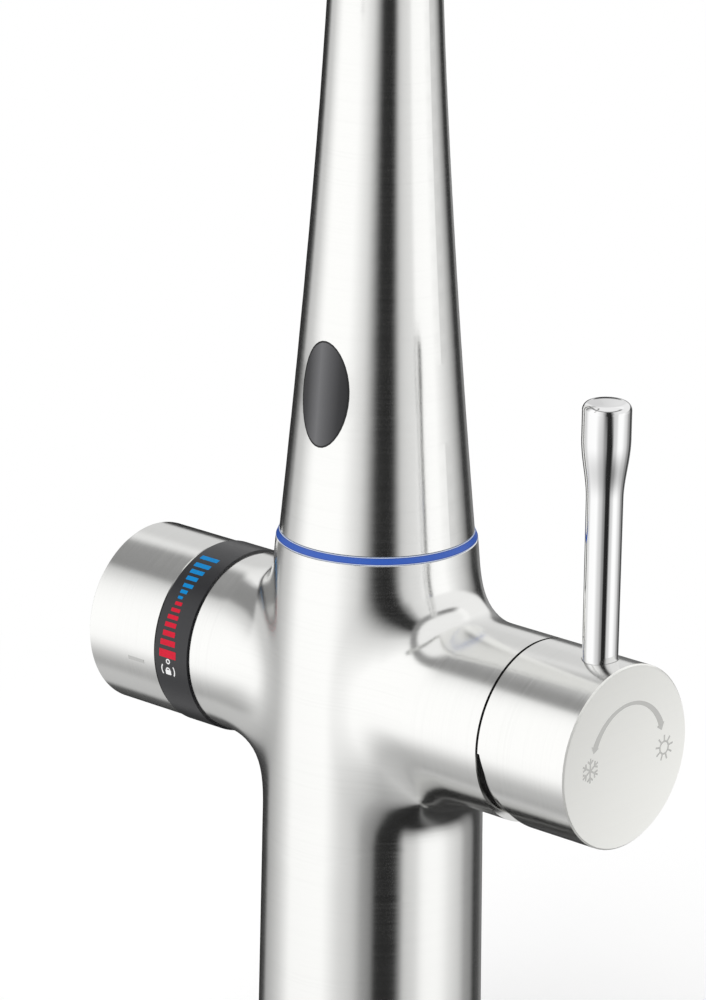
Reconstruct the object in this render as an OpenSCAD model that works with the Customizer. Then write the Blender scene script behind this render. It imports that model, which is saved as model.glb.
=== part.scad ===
// Boiling water tap: a cross-shaped body with a mixer lever on the right, a boiling-water dial on the
// left, a touch-free sensor in the tapered neck and a swivelling gooseneck spout.
// The origin is on the worktop under the middle of the body. +Z is up, the spout points to -Y,
// the lever is on +X and the dial on -X.

/* [Body] */
// Height of the arm axis above the worktop
arm_height = 115; // [105:1:140]
// Radius of the column beside the arms
column_r = 25; // [24.5:0.1:27]
// Radius of the column's foot
foot_r = 25.9; // [25.5:0.1:28]
// Radius of the column's top edge
crown_r = 22.7; // [22.5:0.1:24]
// Height of the column's top edge above the arm axis
crown_rise = 34.3; // [33:0.1:42]
// Depth below the arm axis where the column starts to narrow
shoulder_drop = 25; // [15:1:40]
// Outer radius of both arms
arm_r = 20.9; // [20.5:0.1:22]
// Reach of the mixer arm from the body's axis
arm_reach = 48.45; // [48:0.05:56]
// Reach of the dial arm from the body's axis
dial_arm_reach = 38.5; // [37:0.5:48]
// Radius of the fillets between the arms and the column
fillet_r = 12; // [8:0.5:13]
// Wall between the mixer arm's outside and its bore
arm_wall = 3.2; // [2.6:0.1:4]
// Radius of the hollow in the lower column
column_bore_r = 20.5; // [20.5:0.1:21.5]
// Depth below the arm axis of the column's inner floor
floor_drop = 35; // [32:1:45]

/* [Base and mounting] */
// Outer radius of the base ring
base_ring_r = 28; // [27:0.5:34]
// Height of the base ring
base_ring_h = 6; // [4:0.5:12]
// Thickness of the base ring's inner lip
base_lip_h = 1.5; // [1:0.1:2.5]
// Bevel on the base ring's top edge
base_bevel = 1.2; // [0.4:0.1:2]
// Thickness of the gasket under the base ring
gasket_h = 1.5; // [1:0.1:3]
// Step from the column's foot to the spigot inside the base ring
spigot_step = 2.9; // [2.4:0.1:3.2]
// Radius of the threaded shank
shank_r = 16.5; // [16:0.1:17.5]
// Radius of the hose passage in the shank
shank_bore_r = 13; // [12.8:0.1:13.4]
// Length of the shank below the worktop's surface
shank_length = 75; // [60:1:100]
// Thickness of the shank's flange in the foot
shank_flange_h = 8; // [6:0.5:14]
// Thickness of the worktop that the tap is clamped to
worktop = 30; // [10:1:40]
// Outer radius of the clamp washers
clamp_r = 27; // [24:0.5:32]
// Thickness of the rubber clamp washer
clamp_gasket_h = 3; // [2:0.5:5]
// Thickness of the steel clamp washer
clamp_washer_h = 2; // [1:0.5:4]
// Height of the mounting nut
nut_h = 10; // [7:0.5:14]
// Distance across the mounting nut's flats
nut_flats = 46; // [42:1:52]
// Bevel on the corners of the mounting nut
nut_bevel = 1.5; // [0.5:0.1:2]

/* [Waterways] */
// Radius of the circle on which the water ports lie
port_circle_r = 8; // [7.6:0.1:8.2]
// Core radius of the threaded hose inlets
inlet_core_r = 4.46; // [4:0.02:4.5]
// Depth of the threaded hose inlets
inlet_depth = 12; // [8:0.5:14]
// Radius of the cold, hot and mixed waterways
channel_r = 2.8; // [2:0.1:3]
// Radius of the boiling waterway
boil_channel_r = 2.2; // [1.5:0.1:2.4]
// Radius of the slanted boiling waterway to the spout
riser_r = 1.4; // [1:0.1:1.5]
// Radius of the cable duct for the light ring
cable_duct_r = 1.2; // [1:0.1:1.3]

/* [Lever] */
// Gap between the mixer arm and the lever's hub
hub_gap = 0.65; // [0.5:0.05:1.2]
// Length of the lever's hub
hub_length = 24.5; // [24:0.1:30]
// Wall of the hub
hub_wall = 1; // [0.8:0.05:1.3]
// Thickness of the hub's round face
hub_face_h = 2.5; // [1.5:0.1:3]
// Bevel round the hub's face
hub_bevel = 0.35; // [0.1:0.05:0.6]
// Step at the mid height of the hub's rim
relief_step = 0.5; // [0.3:0.05:0.9]
// Slope of the relief under the hub that lets it tilt, in degrees
relief_slope = 17; // [16:0.5:20]
// Tilt of the lever from shut to full flow, in degrees
lever_tilt = 15; // [8:1:15]
// Radius of the boss inside the hub
boss_r = 8; // [7.5:0.1:9]
// Distance of the lever rod's axis from the hub's inner edge
rod_setback = 16.6; // [15.5:0.1:17.5]
// Radius of the lever rod at its foot
rod_r = 3.95; // [3.6:0.05:4.4]
// Radius of the lever rod below its grip
rod_waist_r = 4.05; // [3.8:0.05:4.8]
// Radius of the lever's grip
grip_r = 5.4; // [5:0.1:6.5]
// Height of the lever's top above the arm axis
rod_top = 79; // [70:0.5:110]
// Length of the grip
grip_length = 8; // [6:0.5:30]
// Length of the taper below the grip
grip_taper = 14; // [8:0.5:20]
// Rounding of the lever's top edge
grip_round = 1.8; // [0.4:0.1:2]
// Rise of the domed top of the lever
grip_dome = 0.4; // [0.2:0.1:1.5]
// Radius of the threaded spigot under the lever rod
rod_spigot_r = 2.5; // [2:0.1:3]

/* [Mixer cartridge] */
// Distance of the mixer bore's floor from the body's axis
mixer_floor = 17; // [16.5:0.1:18]
// Distance of the lever's pivot from the end of the arm
pivot_offset = 0.25; // [0.1:0.05:0.5]
// Share of the bore's depth that the cartridge's base takes
cartridge_base_share = 0.09; // [0.08:0.005:0.1]
// Share of the bore's depth that one ceramic disc takes
disc_share = 0.094; // [0.08:0.002:0.1]
// Room beside the sliding ceramic disc in the housing
slide_disc_room = 5.7; // [5:0.1:6.5]
// Share of the bore's depth that the carrier on the sliding disc takes
carrier_share = 0.203; // [0.195:0.001:0.21]
// Thickness of the carrier's floor under the ball
carrier_web = 1; // [0.8:0.1:1.2]
// Wall of the cartridge housing
housing_wall = 1.9; // [1.5:0.1:2.2]
// Share of the bore's depth that the shoulder of the cartridge housing takes
housing_cap_share = 0.078; // [0.06:0.002:0.09]
// Wall of the cartridge housing's neck
housing_neck_wall = 1.6; // [1.2:0.1:2]
// Share of the housing's cavity radius that the rotor's barrel takes
rotor_share = 0.733; // [0.71:0.001:0.74]
// Share of the bore's depth that the rotor's flange takes
rotor_flange_share = 0.094; // [0.08:0.002:0.1]
// Length of the rotor past the lever's pivot
rotor_overhang = 5.2; // [4.5:0.1:5.6]
// Width of the lever stem's square
stem_square = 7; // [6.4:0.1:7.4]
// Radius of the lever stem's inner shaft
stem_shaft_r = 2.6; // [2.2:0.1:2.8]
// Radius of the ball on the lever stem's inner end
stem_ball_r = 3.2; // [3:0.05:3.3]
// Radius of the pin that the lever stem tilts on
stem_pin_r = 1.5; // [1.2:0.1:1.8]
// Share of the bore's depth that the ring nut takes
ring_nut_share = 0.187; // [0.13:0.001:0.187]
// Length of the domed part of the collar
dome_length = 7; // [5:0.1:7.5]
// Wall of the collar's skirt
collar_skirt_wall = 2.4; // [1.8:0.1:2.8]
// Width of the groove between the arm and the domed collar
collar_groove = 1; // [0.8:0.05:1.3]

/* [Dial] */
// Width of the scale ring
scale_width = 10; // [7:0.5:14]
// Height of the scale ring's face over the arm
scale_proud = 0.5; // [0.2:0.1:1]
// Step from the arm down to the spigot under the scale ring
scale_seat_step = 1.9; // [1.5:0.1:2.4]
// Wall of the spigot under the scale ring
spigot_wall = 4.4; // [3.8:0.1:4.8]
// Height of the knob's face over the arm
knob_proud = 0.2; // [0:0.1:1]
// Length of the knob
knob_length = 21.8; // [19:0.1:28]
// Wall of the knob
knob_wall = 1.6; // [1.2:0.1:2.4]
// Thickness of the knob's end
knob_end_h = 2.5; // [1.8:0.1:3.5]
// Bevel on the knob's edges
knob_bevel = 0.4; // [0.2:0.05:0.8]
// Radius of the boss in the knob
knob_boss_r = 10; // [9.5:0.1:11]
// Radius of the splined insert in the knob's boss
insert_r = 7.9; // [7:0.1:8.2]
// Length of the splined insert
insert_length = 12; // [9:0.5:13]
// Turn of the dial from locked to full, in degrees
dial_turn = 79; // [60:1:90]

/* [Boiling valve] */
// Distance of the boiling valve's floor from the body's axis
valve_floor = 17; // [16.5:0.1:18]
// Rim between the boiling valve's ports and the edge of its disc chamber
valve_port_rim = 0.5; // [0.4:0.1:0.8]
// Height of the boiling valve's seat seals
seal_h = 1.4; // [1:0.1:1.8]
// Thickness of the boiling valve's base
valve_base_h = 2.5; // [2:0.1:3.2]
// Share of the boiling valve's radius that its disc chamber takes
chamber_share = 0.634; // [0.63:0.001:0.66]
// Thickness of the boiling valve's ceramic discs
valve_disc_h = 2.5; // [2:0.1:3]
// Thickness of the spindle's flange
spindle_flange_h = 2.8; // [2:0.1:3.4]
// Radius of the spindle
spindle_r = 5; // [4.6:0.1:5.4]
// Length of the boiling valve's wide body
valve_body_length = 21; // [20:0.5:22.5]
// Share of the boiling valve's radius that its neck takes
valve_neck_share = 0.62; // [0.56:0.005:0.65]
// Length of the boiling valve's neck
valve_neck_length = 6; // [5:0.5:7]
// Outer radius of the spindle's spline
spline_r = 4; // [3.6:0.1:4.3]
// Depth of the spline's grooves
spline_depth = 0.5; // [0.3:0.1:0.7]
// Number of splines
splines = 18; // [12:1:24]

/* [Spout] */
// Radius of the neck where it meets the light ring
neck_base_r = 21.9; // [21.4:0.1:22.5]
// Length of the tapered neck
neck_length = 142.3; // [110:0.1:170]
// Wall of the tapered neck
neck_wall = 1.5; // [1.2:0.1:1.8]
// Outer radius of the gooseneck tube
tube_r = 12; // [11.5:0.1:13]
// Wall of the gooseneck tube
tube_wall = 1.2; // [1:0.1:1.5]
// Straight rise of the gooseneck above the neck
tube_rise = 8; // [4:1:40]
// Radius of the gooseneck's bend
bend_r = 90; // [70:1:120]
// Straight drop of the gooseneck at its outlet end
tube_drop = 41; // [36:1:80]
// Outer radius of the boiling water tube
boil_tube_r = 3.2; // [2.8:0.1:3.4]
// Outer radius of the mixed water tube
mixed_tube_r = 5; // [4.5:0.1:5.2]
// Wall of the mixed water tube
mixed_tube_wall = 1.2; // [0.8:0.1:1.5]
// Wall of the boiling water tube
boil_tube_wall = 0.9; // [0.6:0.1:1.2]
// Sideways place of the boiling water tube
boil_tube_side = 5.2; // [5:0.1:5.6]
// Sideways place of the mixed water tube
mixed_tube_side = 4.2; // [4:0.1:4.6]

/* [Swivel] */
// Radius of the spout sleeve's shaft
sleeve_r = 13; // [12.8:0.1:13.2]
// Length of the spout sleeve's shaft
sleeve_length = 24.2; // [23.5:0.1:25]
// Radius of the spout sleeve's flange
sleeve_flange_r = 19.7; // [19.2:0.1:19.8]
// Thickness of the spout sleeve's flange
sleeve_flange_h = 5; // [4:0.5:6]
// Wall of the upper swivel bush
bush_wall = 2.4; // [1.8:0.1:2.6]
// Height of the upper swivel bush
bush_h = 7.9; // [6:0.1:8.4]
// Height of the water chamber under the sleeve
chamber_h = 1.2; // [0.8:0.1:2]
// Section radius of the swivel's O-rings
swivel_ring_r = 0.95; // [0.7:0.05:1.05]
// Height of the boiling water groove round the sleeve
boil_groove_h = 2.4; // [1.8:0.1:2.8]
// Depth of the grooves in the sleeve
groove_depth = 1.9; // [1.5:0.1:2.2]
// Radius of the spout's stop screw
stop_screw_r = 2.5; // [2:0.1:2.6]
// Radius of the stop screw's tip
stop_tip_r = 1.5; // [1.2:0.1:1.8]
// Swing of the spout to either side, in degrees
spout_swing = 90; // [45:5:90]

/* [Light ring] */
// Height of the light ring
light_ring_h = 1.6; // [1.2:0.1:2.4]
// Inner radius of the light ring
light_ring_bore_r = 17.5; // [17:0.1:18]
// Depth of the circuit board's groove in the column's top
board_groove_h = 2; // [1.5:0.1:3]
// Width of the circuit board's groove
board_groove_w = 2.8; // [2:0.1:3]
// Gap between the light ring and the turning neck
neck_gap = 0.2; // [0.15:0.05:0.4]
// How much narrower the light ring's top edge is than its foot, on the radius
light_lean = 0.7; // [0.1:0.1:0.8]

/* [Sensor] */
// Height of the sensor's centre above the arm axis
sensor_rise = 70.9; // [60:0.1:90]
// Width of the sensor window
sensor_w = 13; // [10:0.5:16]
// Height of the sensor window
sensor_h = 23.2; // [16:0.1:28]
// Width of the seal round the sensor window
sensor_seal_w = 0.4; // [0.3:0.1:1]
// Depth of the sensor window's back behind the neck's face
sensor_depth = 4.2; // [3.5:0.1:5]
// Depth of the sensor module behind the window
module_depth = 6; // [4:0.5:6.5]

/* [Outlet] */
// Length of the brass block in the outlet
outlet_block_h = 12; // [8:0.5:16]
// Length of the aerator housing's thread in the tube
aerator_thread_h = 10; // [8:0.5:14]
// Height of the aerator housing's visible rim
aerator_rim_h = 4; // [3:0.5:8]
// Wall of the aerator housing
aerator_wall = 1.1; // [0.8:0.1:1.5]
// Height of the aerator insert
aerator_h = 8; // [6:0.5:9]
// Number of stream holes in the aerator
aerator_holes = 16; // [8:1:18]
// Radius of one stream hole
aerator_hole_r = 0.8; // [0.5:0.1:0.9]
// Outer radius of the boiling water nozzle
nozzle_r = 4; // [3.5:0.1:4.2]
// Radius of the boiling water nozzle's bore
nozzle_bore_r = 2.2; // [1.8:0.1:2.6]
// Thickness of the aerator's washer
aerator_washer_h = 1.5; // [1:0.1:2]

/* [Screws and clearances] */
// Radius of the hub's and the knob's set screws
set_screw_r = 2; // [1.5:0.1:2.5]
// Radius of the access hole to a set screw
access_r = 2.6; // [2.5:0.1:3]
// Running clearance of turning parts, on the radius
run_clear = 0.08; // [0.04:0.01:0.1]
// Clearance of parts that are screwed or pushed together, on the radius
seat_clear = 0.1; // [0.05:0.01:0.15]
// Gap between faces that slide on each other
slide_gap = 0.05; // [0.03:0.01:0.1]
// Gap between moving parts that don't guide each other
free_gap = 0.3; // [0.25:0.05:0.4]
// Clearance of the washers round the shank
shank_clear = 0.5; // [0.3:0.1:0.8]

/* [Hidden] */
$fn = 96;

// Overrun of every cut past the face that it opens
over = 1;
// Depth to which the fillets' edges are sunk into the walls that they join, and that of their back
sink = 0.05;
back_sink = 1;
// Depth of the foot's rim below the shank's flange, and width left above the arms' fillets
shank_seat = 1;
crown_margin = 0.5;
// How sharply the column narrows towards its top, and the neck towards the tube
shoulder_power = 2.4;
neck_power = 1.36;
// Steps along the column, the neck and the fillets
column_steps = 14;
neck_steps = 24;
fillet_steps = 8;
fillet_stations = 48;
oval_steps = 40;
grip_steps = 10;
// Angle between the mixer's ports, and that of the cable duct from the mixer arm
inlet_turn = 120;
cable_duct_turn = 60;

// Heights on the column
crown_at = arm_height + crown_rise;
foot_at = gasket_h + base_ring_h;
column_floor_at = arm_height - floor_drop;
foot_spigot_r = foot_r - spigot_step;
spigot_at = gasket_h + base_lip_h + seat_clear;
flange_at = spigot_at + shank_seat;
clamp_at = -worktop;

// Radius of the column at a height h over the arm axis, and how steeply it narrows there
foot_drop = arm_height - foot_at;
function column_share(h) = (h + shoulder_drop) / (crown_rise + shoulder_drop);
function column_at(h) = h < -shoulder_drop
  ? column_r + (foot_r - column_r) * (-shoulder_drop - h) / (foot_drop - shoulder_drop)
  : column_r - (column_r - crown_r) * pow(column_share(h), shoulder_power);
function column_lean(h) = h < -shoulder_drop
  ? atan((foot_r - column_r) / (foot_drop - shoulder_drop))
  : atan((column_r - crown_r) / (crown_rise + shoulder_drop) * shoulder_power
      * pow(column_share(h), shoulder_power - 1));

// The ball that rolls along an arm and the column: where it touches the column's side
blend_r = min(fillet_r, crown_rise - arm_r - crown_margin);
function touch_step(z, h) = z - blend_r * sin(column_lean(h));
function touch_height(z) = touch_step(z, touch_step(z, touch_step(z, z)));
function unit(v) = v / norm(v);
function arc_point(from, to, share) =
  let (turn = acos(from * to))
  (sin((1 - share) * turn) * from + sin(share * turn) * to) / sin(turn);
function fillet_section(turn) =
  let (
    ring_y = (arm_r + blend_r) * cos(turn),
    ring_z = (arm_r + blend_r) * sin(turn),
    touch_z = touch_height(ring_z),
    wall = column_at(touch_z),
    span = wall + blend_r * cos(column_lean(touch_z)),
    ring_x = sqrt(span * span - ring_y * ring_y),
    centre = [ring_x, ring_y, ring_z],
    to_arm = [0, -cos(turn), -sin(turn)],
    to_column = unit([ring_x * wall / span, ring_y * wall / span, touch_z] - centre),
    in_arm = [ring_x, (arm_r - back_sink) * cos(turn), (arm_r - back_sink) * sin(turn)],
    in_column = [ring_x * (wall - back_sink) / span, ring_y * (wall - back_sink) / span, touch_z],
    crease_wall = column_at(in_arm[2]) - back_sink,
    crease = [sqrt(crease_wall * crease_wall - in_arm[1] * in_arm[1]), in_arm[1], in_arm[2]]
  )
  concat(
    [in_arm, centre + (blend_r + sink) * to_arm],
    [for (i = [1:fillet_steps - 1]) centre + blend_r * arc_point(to_arm, to_column, i / fillet_steps)],
    [centre + (blend_r + sink) * to_column, in_column, crease]
  );

// Places along the mixer arm, from the body's axis
mixer_bore_r = arm_r - arm_wall;
cartridge_r = mixer_bore_r - seat_clear;
cavity_r = cartridge_r - housing_wall;
rotor_r = cavity_r * rotor_share;
slide_disc_r = cavity_r - slide_disc_room;
mixer_depth = arm_reach - mixer_floor;
cartridge_base_h = mixer_depth * cartridge_base_share;
disc_h = mixer_depth * disc_share;
carrier_h = mixer_depth * carrier_share;
rotor_flange_h = mixer_depth * rotor_flange_share;
housing_cap_h = mixer_depth * housing_cap_share;
ring_nut_h = mixer_depth * ring_nut_share;
base_at = mixer_floor + seat_clear;
fixed_disc_at = base_at + cartridge_base_h + slide_gap;
sliding_disc_at = fixed_disc_at + disc_h + slide_gap;
carrier_at = sliding_disc_at + disc_h + slide_gap;
rotor_at = carrier_at + carrier_h + free_gap;
barrel_at = rotor_at + rotor_flange_h;
shoulder_at = barrel_at + free_gap;
ring_nut_at = shoulder_at + housing_cap_h + slide_gap;
pivot_at = arm_reach + pivot_offset;
rotor_end = pivot_at + rotor_overhang;
housing_end = rotor_end - free_gap - slide_gap;
neck_bore_r = rotor_r + run_clear;
housing_neck_r = neck_bore_r + housing_neck_wall;
hub_at = arm_reach + hub_gap;
hub_end = hub_at + hub_length;
rod_reach = hub_at + rod_setback;
hub_floor_at = hub_end - hub_face_h;
hub_bore_r = arm_r - hub_wall;
dome_r = hub_bore_r - free_gap - slide_gap;
dome_at = arm_reach + collar_groove;
collar_at = ring_nut_at + ring_nut_h + seat_clear;
boss_room = 1;
boss_at = rotor_end + free_gap + boss_r * sin(lever_tilt) + boss_room;
stem_end = hub_floor_at - hub_face_h;
ball_at = carrier_at + carrier_web + stem_ball_r + slide_gap + free_gap / 2;
pocket_r = stem_ball_r + free_gap - slide_gap;
slide_travel = (pivot_at - ball_at) * sin(lever_tilt);
seat_ring_w = 1;
seat_ring_h = 1.2;
stem_shoulder_h = 1;
stem_neck_at = pivot_at - stem_square / 2 - stem_shoulder_h;

// Places along the dial arm, from the body's axis
dial_spigot_r = arm_r - scale_seat_step;
valve_bore_r = dial_spigot_r - spigot_wall;
valve_r = valve_bore_r - seat_clear;
chamber_r = valve_r * chamber_share;
valve_neck_r = valve_r * valve_neck_share;
valve_port_r = chamber_r - boil_channel_r - valve_port_rim;
scale_end = dial_arm_reach + scale_width;
spigot_end = scale_end - free_gap + seat_clear;
glide_h = free_gap * 2;
glide_at = spigot_end + slide_gap;
knob_at = glide_at + glide_h + slide_gap;
knob_end = scale_end + knob_length;
knob_r = arm_r + knob_proud;
scale_r = arm_r + scale_proud;
knob_edge_at = scale_end + free_gap;
valve_seal_at = valve_floor + slide_gap;
valve_base_at = valve_seal_at + seal_h;
valve_disc_at = valve_base_at + valve_base_h + slide_gap;
turning_disc_at = valve_disc_at + valve_disc_h + slide_gap;
spindle_at = turning_disc_at + valve_disc_h + slide_gap;
gland_at = spindle_at + spindle_flange_h + free_gap;
valve_shoulder_at = valve_base_at + valve_body_length;
valve_neck_end = valve_shoulder_at + valve_neck_length;
valve_nut_at = valve_shoulder_at + slide_gap;
clip_h = 1;
clip_w = 1.6;
clip_at = valve_neck_end + slide_gap;
clip_room = 1;
spline_at = clip_at + clip_h + clip_room;
insert_at = spline_at + clip_room / 2;
spline_end = insert_at + insert_length - clip_room;
insert_web = 1;
boss_clear = 0.5;
knob_floor_at = knob_end - knob_end_h;
gland_r = spindle_r + run_clear;
spindle_ring_r = 0.7;
valve_disc_r = chamber_r - seat_clear;

// Heights on the swivel and the spout
light_at = crown_at;
neck_at = light_at + light_ring_h + neck_gap;
sleeve_flange_at = neck_at + free_gap;
sleeve_bottom = sleeve_flange_at - sleeve_length;
sleeve_bore_r = sleeve_r + run_clear;
chamber_at = sleeve_bottom - chamber_h;
bush_top = sleeve_flange_at - seat_clear;
bush_at = bush_top - bush_h;
bush_seat_r = sleeve_bore_r + bush_wall;
ring_track_r = sleeve_r - swivel_ring_r + slide_gap;
ring_shares = [0.1, 0.33, 0.62];
boil_groove_share = 0.165;
stop_share = 0.465;
band_share = 0.68;
ring_heights = [for (share = ring_shares) sleeve_bottom + share * sleeve_length];
boil_groove_at = sleeve_bottom + sleeve_length * boil_groove_share;
stop_at = sleeve_bottom + sleeve_length * stop_share;
band_at = sleeve_bottom + sleeve_length * band_share;
band_h = 2;
stop_shoulder = 0.5;
stop_sunk = 2;
stop_shoulder_at = sleeve_r + stop_shoulder;
stop_head_at = column_r - stop_sunk;
neck_end = neck_at + neck_length;
bend_at = neck_end + tube_rise;
outlet_at = bend_at - tube_drop;
sensor_at = arm_height + sensor_rise;
function neck_r(share) = tube_r + (neck_base_r - tube_r) * pow(1 - share, neck_power);
function neck_r_at(z) = neck_r((z - neck_at) / neck_length);
tube_plug_h = 3;
sensor_front = neck_r_at(sensor_at);
outlet_bore_r = tube_r - tube_wall;
outlet_fit_r = outlet_bore_r - seat_clear;
block_at = outlet_at + aerator_thread_h + aerator_washer_h + 2 * seat_clear;
rim_at = outlet_at - slide_gap - aerator_rim_h;
aerator_bore_r = outlet_fit_r - aerator_wall;
rim_lip = 1;
aerator_floor = rim_at + rim_lip;
aerator_mouth_r = aerator_bore_r - rim_lip;
nozzle_step = 1;

// Places children with their +Z along the mixer arm, and their +X down
module on_mixer_arm() {
  translate([0, 0, arm_height]) rotate([0, 90, 0]) children();
}

// Places children with their +Z along the dial arm, and their +X up
module on_dial_arm() {
  translate([0, 0, arm_height]) rotate([0, -90, 0]) children();
}

module rod(r, from, to) {
  translate([0, 0, from]) cylinder(r = r, h = to - from);
}

module pipe(outer, inner, from, to) {
  difference() {
    rod(outer, from, to);
    rod(inner, from - over, to + over);
  }
}

// A round bar with both ends bevelled
module bevelled_rod(r, from, to, bevel) {
  rotate_extrude() polygon([
    [0, from], [r - bevel, from], [r, from + bevel], [r, to - bevel], [r - bevel, to], [0, to]
  ]);
}

// Three ports on the port circle, the outlet towards the top; drawn with +X down
module mixer_ports(r, from, to) {
  for (i = [0:2]) {
    rotate([0, 0, 180 + i * inlet_turn]) translate([port_circle_r, 0, 0]) rod(r, from, to);
  }
}

module valve_ports(r, from, to) {
  for (side = [-1, 1]) {
    translate([side * valve_port_r, 0, 0]) rod(r, from, to);
  }
}

// A star outline for a spindle's splines, and for the hole that they fit
module spline_outline(r, depth) {
  polygon([for (i = [0:2 * splines - 1])
    let (reach = r - (i % 2) * depth, turn = i * 180 / splines)
    [reach * cos(turn), reach * sin(turn)]
  ]);
}

// The column and both arms, outside
module fillet_ring() {
  sections = [for (i = [0:fillet_stations - 1]) fillet_section(i * 360 / fillet_stations)];
  count = len(sections[0]);
  points = [for (section = sections) each section];
  faces = [
    for (i = [0:fillet_stations - 1], k = [0:count - 1])
      let (
        j = (i + 1) % fillet_stations,
        m = (k + 1) % count,
        a = i * count + k,
        b = i * count + m,
        c = j * count + m,
        d = j * count + k
      )
      each [[a, c, b], [a, d, c]]
  ];
  polyhedron(points, faces);
}

module column_outside() {
  rotate_extrude() polygon(concat(
    [[0, foot_at]],
    [[foot_r, foot_at]],
    [for (i = [0:column_steps])
      let (h = -shoulder_drop + i * (crown_rise + shoulder_drop) / column_steps)
      [column_at(h), arm_height + h]],
    [[0, crown_at]]
  ));
  rod(foot_spigot_r, spigot_at, foot_at + over);
}

module body_outside() {
  column_outside();
  on_mixer_arm() rod(arm_r, 0, arm_reach);
  on_dial_arm() rod(arm_r, 0, dial_arm_reach);
  on_dial_arm() rod(dial_spigot_r, dial_arm_reach - over, spigot_end);
  translate([0, 0, arm_height]) {
    fillet_ring();
    mirror([1, 0, 0]) fillet_ring();
  }
}

inlet_side_y = port_circle_r * sin(inlet_turn);
inlet_side_x = -port_circle_r * cos(inlet_turn);
riser_from = [-valve_floor - riser_r / 2, arm_height + valve_port_r];
riser_to = [-sleeve_bore_r + riser_r, boil_groove_at + boil_groove_h / 2];
riser_span = norm(riser_to - riser_from);
riser_lean = atan2(riser_to[0] - riser_from[0], riser_to[1] - riser_from[1]);

// Waterways between the hose inlets, the two valves and the spout
module waterways() {
  for (side = [-1, 1]) {
    translate([inlet_side_x, side * inlet_side_y, 0]) {
      rod(inlet_core_r, column_floor_at - over, column_floor_at + inlet_depth);
      rod(channel_r, column_floor_at, arm_height - inlet_side_x);
    }
    translate([inlet_side_x, side * inlet_side_y, arm_height - inlet_side_x])
      rotate([0, 90, 0]) rod(channel_r, -channel_r, mixer_floor);
  }
  translate([-port_circle_r, 0, 0]) {
    rod(inlet_core_r, column_floor_at - over, column_floor_at + inlet_depth);
    rod(boil_channel_r, column_floor_at, arm_height - valve_port_r);
  }
  on_dial_arm() translate([-valve_port_r, 0, 0])
    rod(boil_channel_r, port_circle_r - boil_channel_r, valve_floor + over);
  on_mixer_arm() translate([-port_circle_r, 0, 0])
    rod(channel_r, inlet_side_x, mixer_floor + over);
  translate([inlet_side_x + channel_r / 2, 0, 0])
    rod(channel_r, arm_height + port_circle_r, chamber_at + over);
  translate([riser_from[0], 0, riser_from[1]])
    rotate([0, riser_lean, 0]) rod(riser_r, 0, riser_span);
}

module body() color([0.80, 0.80, 0.79]) {
  difference() {
    body_outside();
    rod(column_bore_r, spigot_at - over, column_floor_at);
    on_mixer_arm() rod(mixer_bore_r, mixer_floor, arm_reach + over);
    on_dial_arm() rod(valve_bore_r, valve_floor, spigot_end + over);
    rod(sleeve_bore_r, chamber_at, crown_at + over);
    rod(bush_seat_r + seat_clear, bush_at - seat_clear, crown_at + over);
    pipe(light_ring_bore_r + board_groove_w, light_ring_bore_r, crown_at - board_groove_h,
      crown_at + over);
    rotate([0, 0, cable_duct_turn]) translate([light_ring_bore_r + board_groove_w / 2, 0, 0])
      rod(cable_duct_r, column_floor_at - over, crown_at);
    translate([0, 0, stop_at]) rotate([-90, 0, 0])
      rod(stop_screw_r + seat_clear, sleeve_r, column_r + over);
    waterways();
  }
}

// Base and mounting
module base_ring() color([0.80, 0.80, 0.79]) {
  rotate_extrude() polygon([
    [shank_r + shank_clear, gasket_h], [base_ring_r, gasket_h],
    [base_ring_r, foot_at - base_bevel], [base_ring_r - base_bevel, foot_at],
    [foot_spigot_r + seat_clear, foot_at],
    [foot_spigot_r + seat_clear, gasket_h + base_lip_h],
    [shank_r + shank_clear, gasket_h + base_lip_h]
  ]);
}

module base_gasket() color([0.12, 0.12, 0.12]) {
  pipe(base_ring_r - base_bevel, shank_r + shank_clear, 0, gasket_h);
}

module mounting_shank() color([0.78, 0.66, 0.38]) {
  difference() {
    union() {
      rod(column_bore_r - seat_clear, flange_at, flange_at + shank_flange_h);
      rod(shank_r, -shank_length, flange_at + over);
    }
    rod(shank_bore_r, -shank_length - over, flange_at + shank_flange_h + over);
  }
}

module clamp_gasket() color([0.12, 0.12, 0.12]) {
  pipe(clamp_r, shank_r + shank_clear, clamp_at - clamp_gasket_h, clamp_at);
}

module clamp_washer() color([0.70, 0.70, 0.70]) {
  top = clamp_at - clamp_gasket_h;
  pipe(clamp_r, shank_r + shank_clear, top - clamp_washer_h, top);
}

module mounting_nut() color([0.78, 0.66, 0.38]) {
  top = clamp_at - clamp_gasket_h - clamp_washer_h;
  corner_r = nut_flats / 2 / cos(30);
  difference() {
    intersection() {
      translate([0, 0, top - nut_h]) cylinder(r = corner_r, h = nut_h, $fn = 6);
      rotate_extrude() polygon([
        [0, top - nut_h], [corner_r - nut_bevel, top - nut_h],
        [corner_r, top - nut_h + nut_bevel], [corner_r, top - nut_bevel],
        [corner_r - nut_bevel, top], [0, top]
      ]);
    }
    rod(shank_r + seat_clear, top - nut_h - over, top + over);
  }
}

// Light ring and swivel
module light_ring() color([0.15, 0.36, 0.80]) {
  rotate_extrude() polygon([
    [light_ring_bore_r, light_at], [crown_r, light_at],
    [crown_r - light_lean, light_at + light_ring_h], [light_ring_bore_r, light_at + light_ring_h]
  ]);
}

module light_board() color([0.10, 0.35, 0.20]) {
  pipe(light_ring_bore_r + board_groove_w - seat_clear, light_ring_bore_r + seat_clear,
    crown_at - board_groove_h, crown_at - slide_gap);
}

module swivel_bush() color([0.90, 0.90, 0.86]) {
  pipe(bush_seat_r, sleeve_bore_r, bush_at, bush_top);
}

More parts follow.
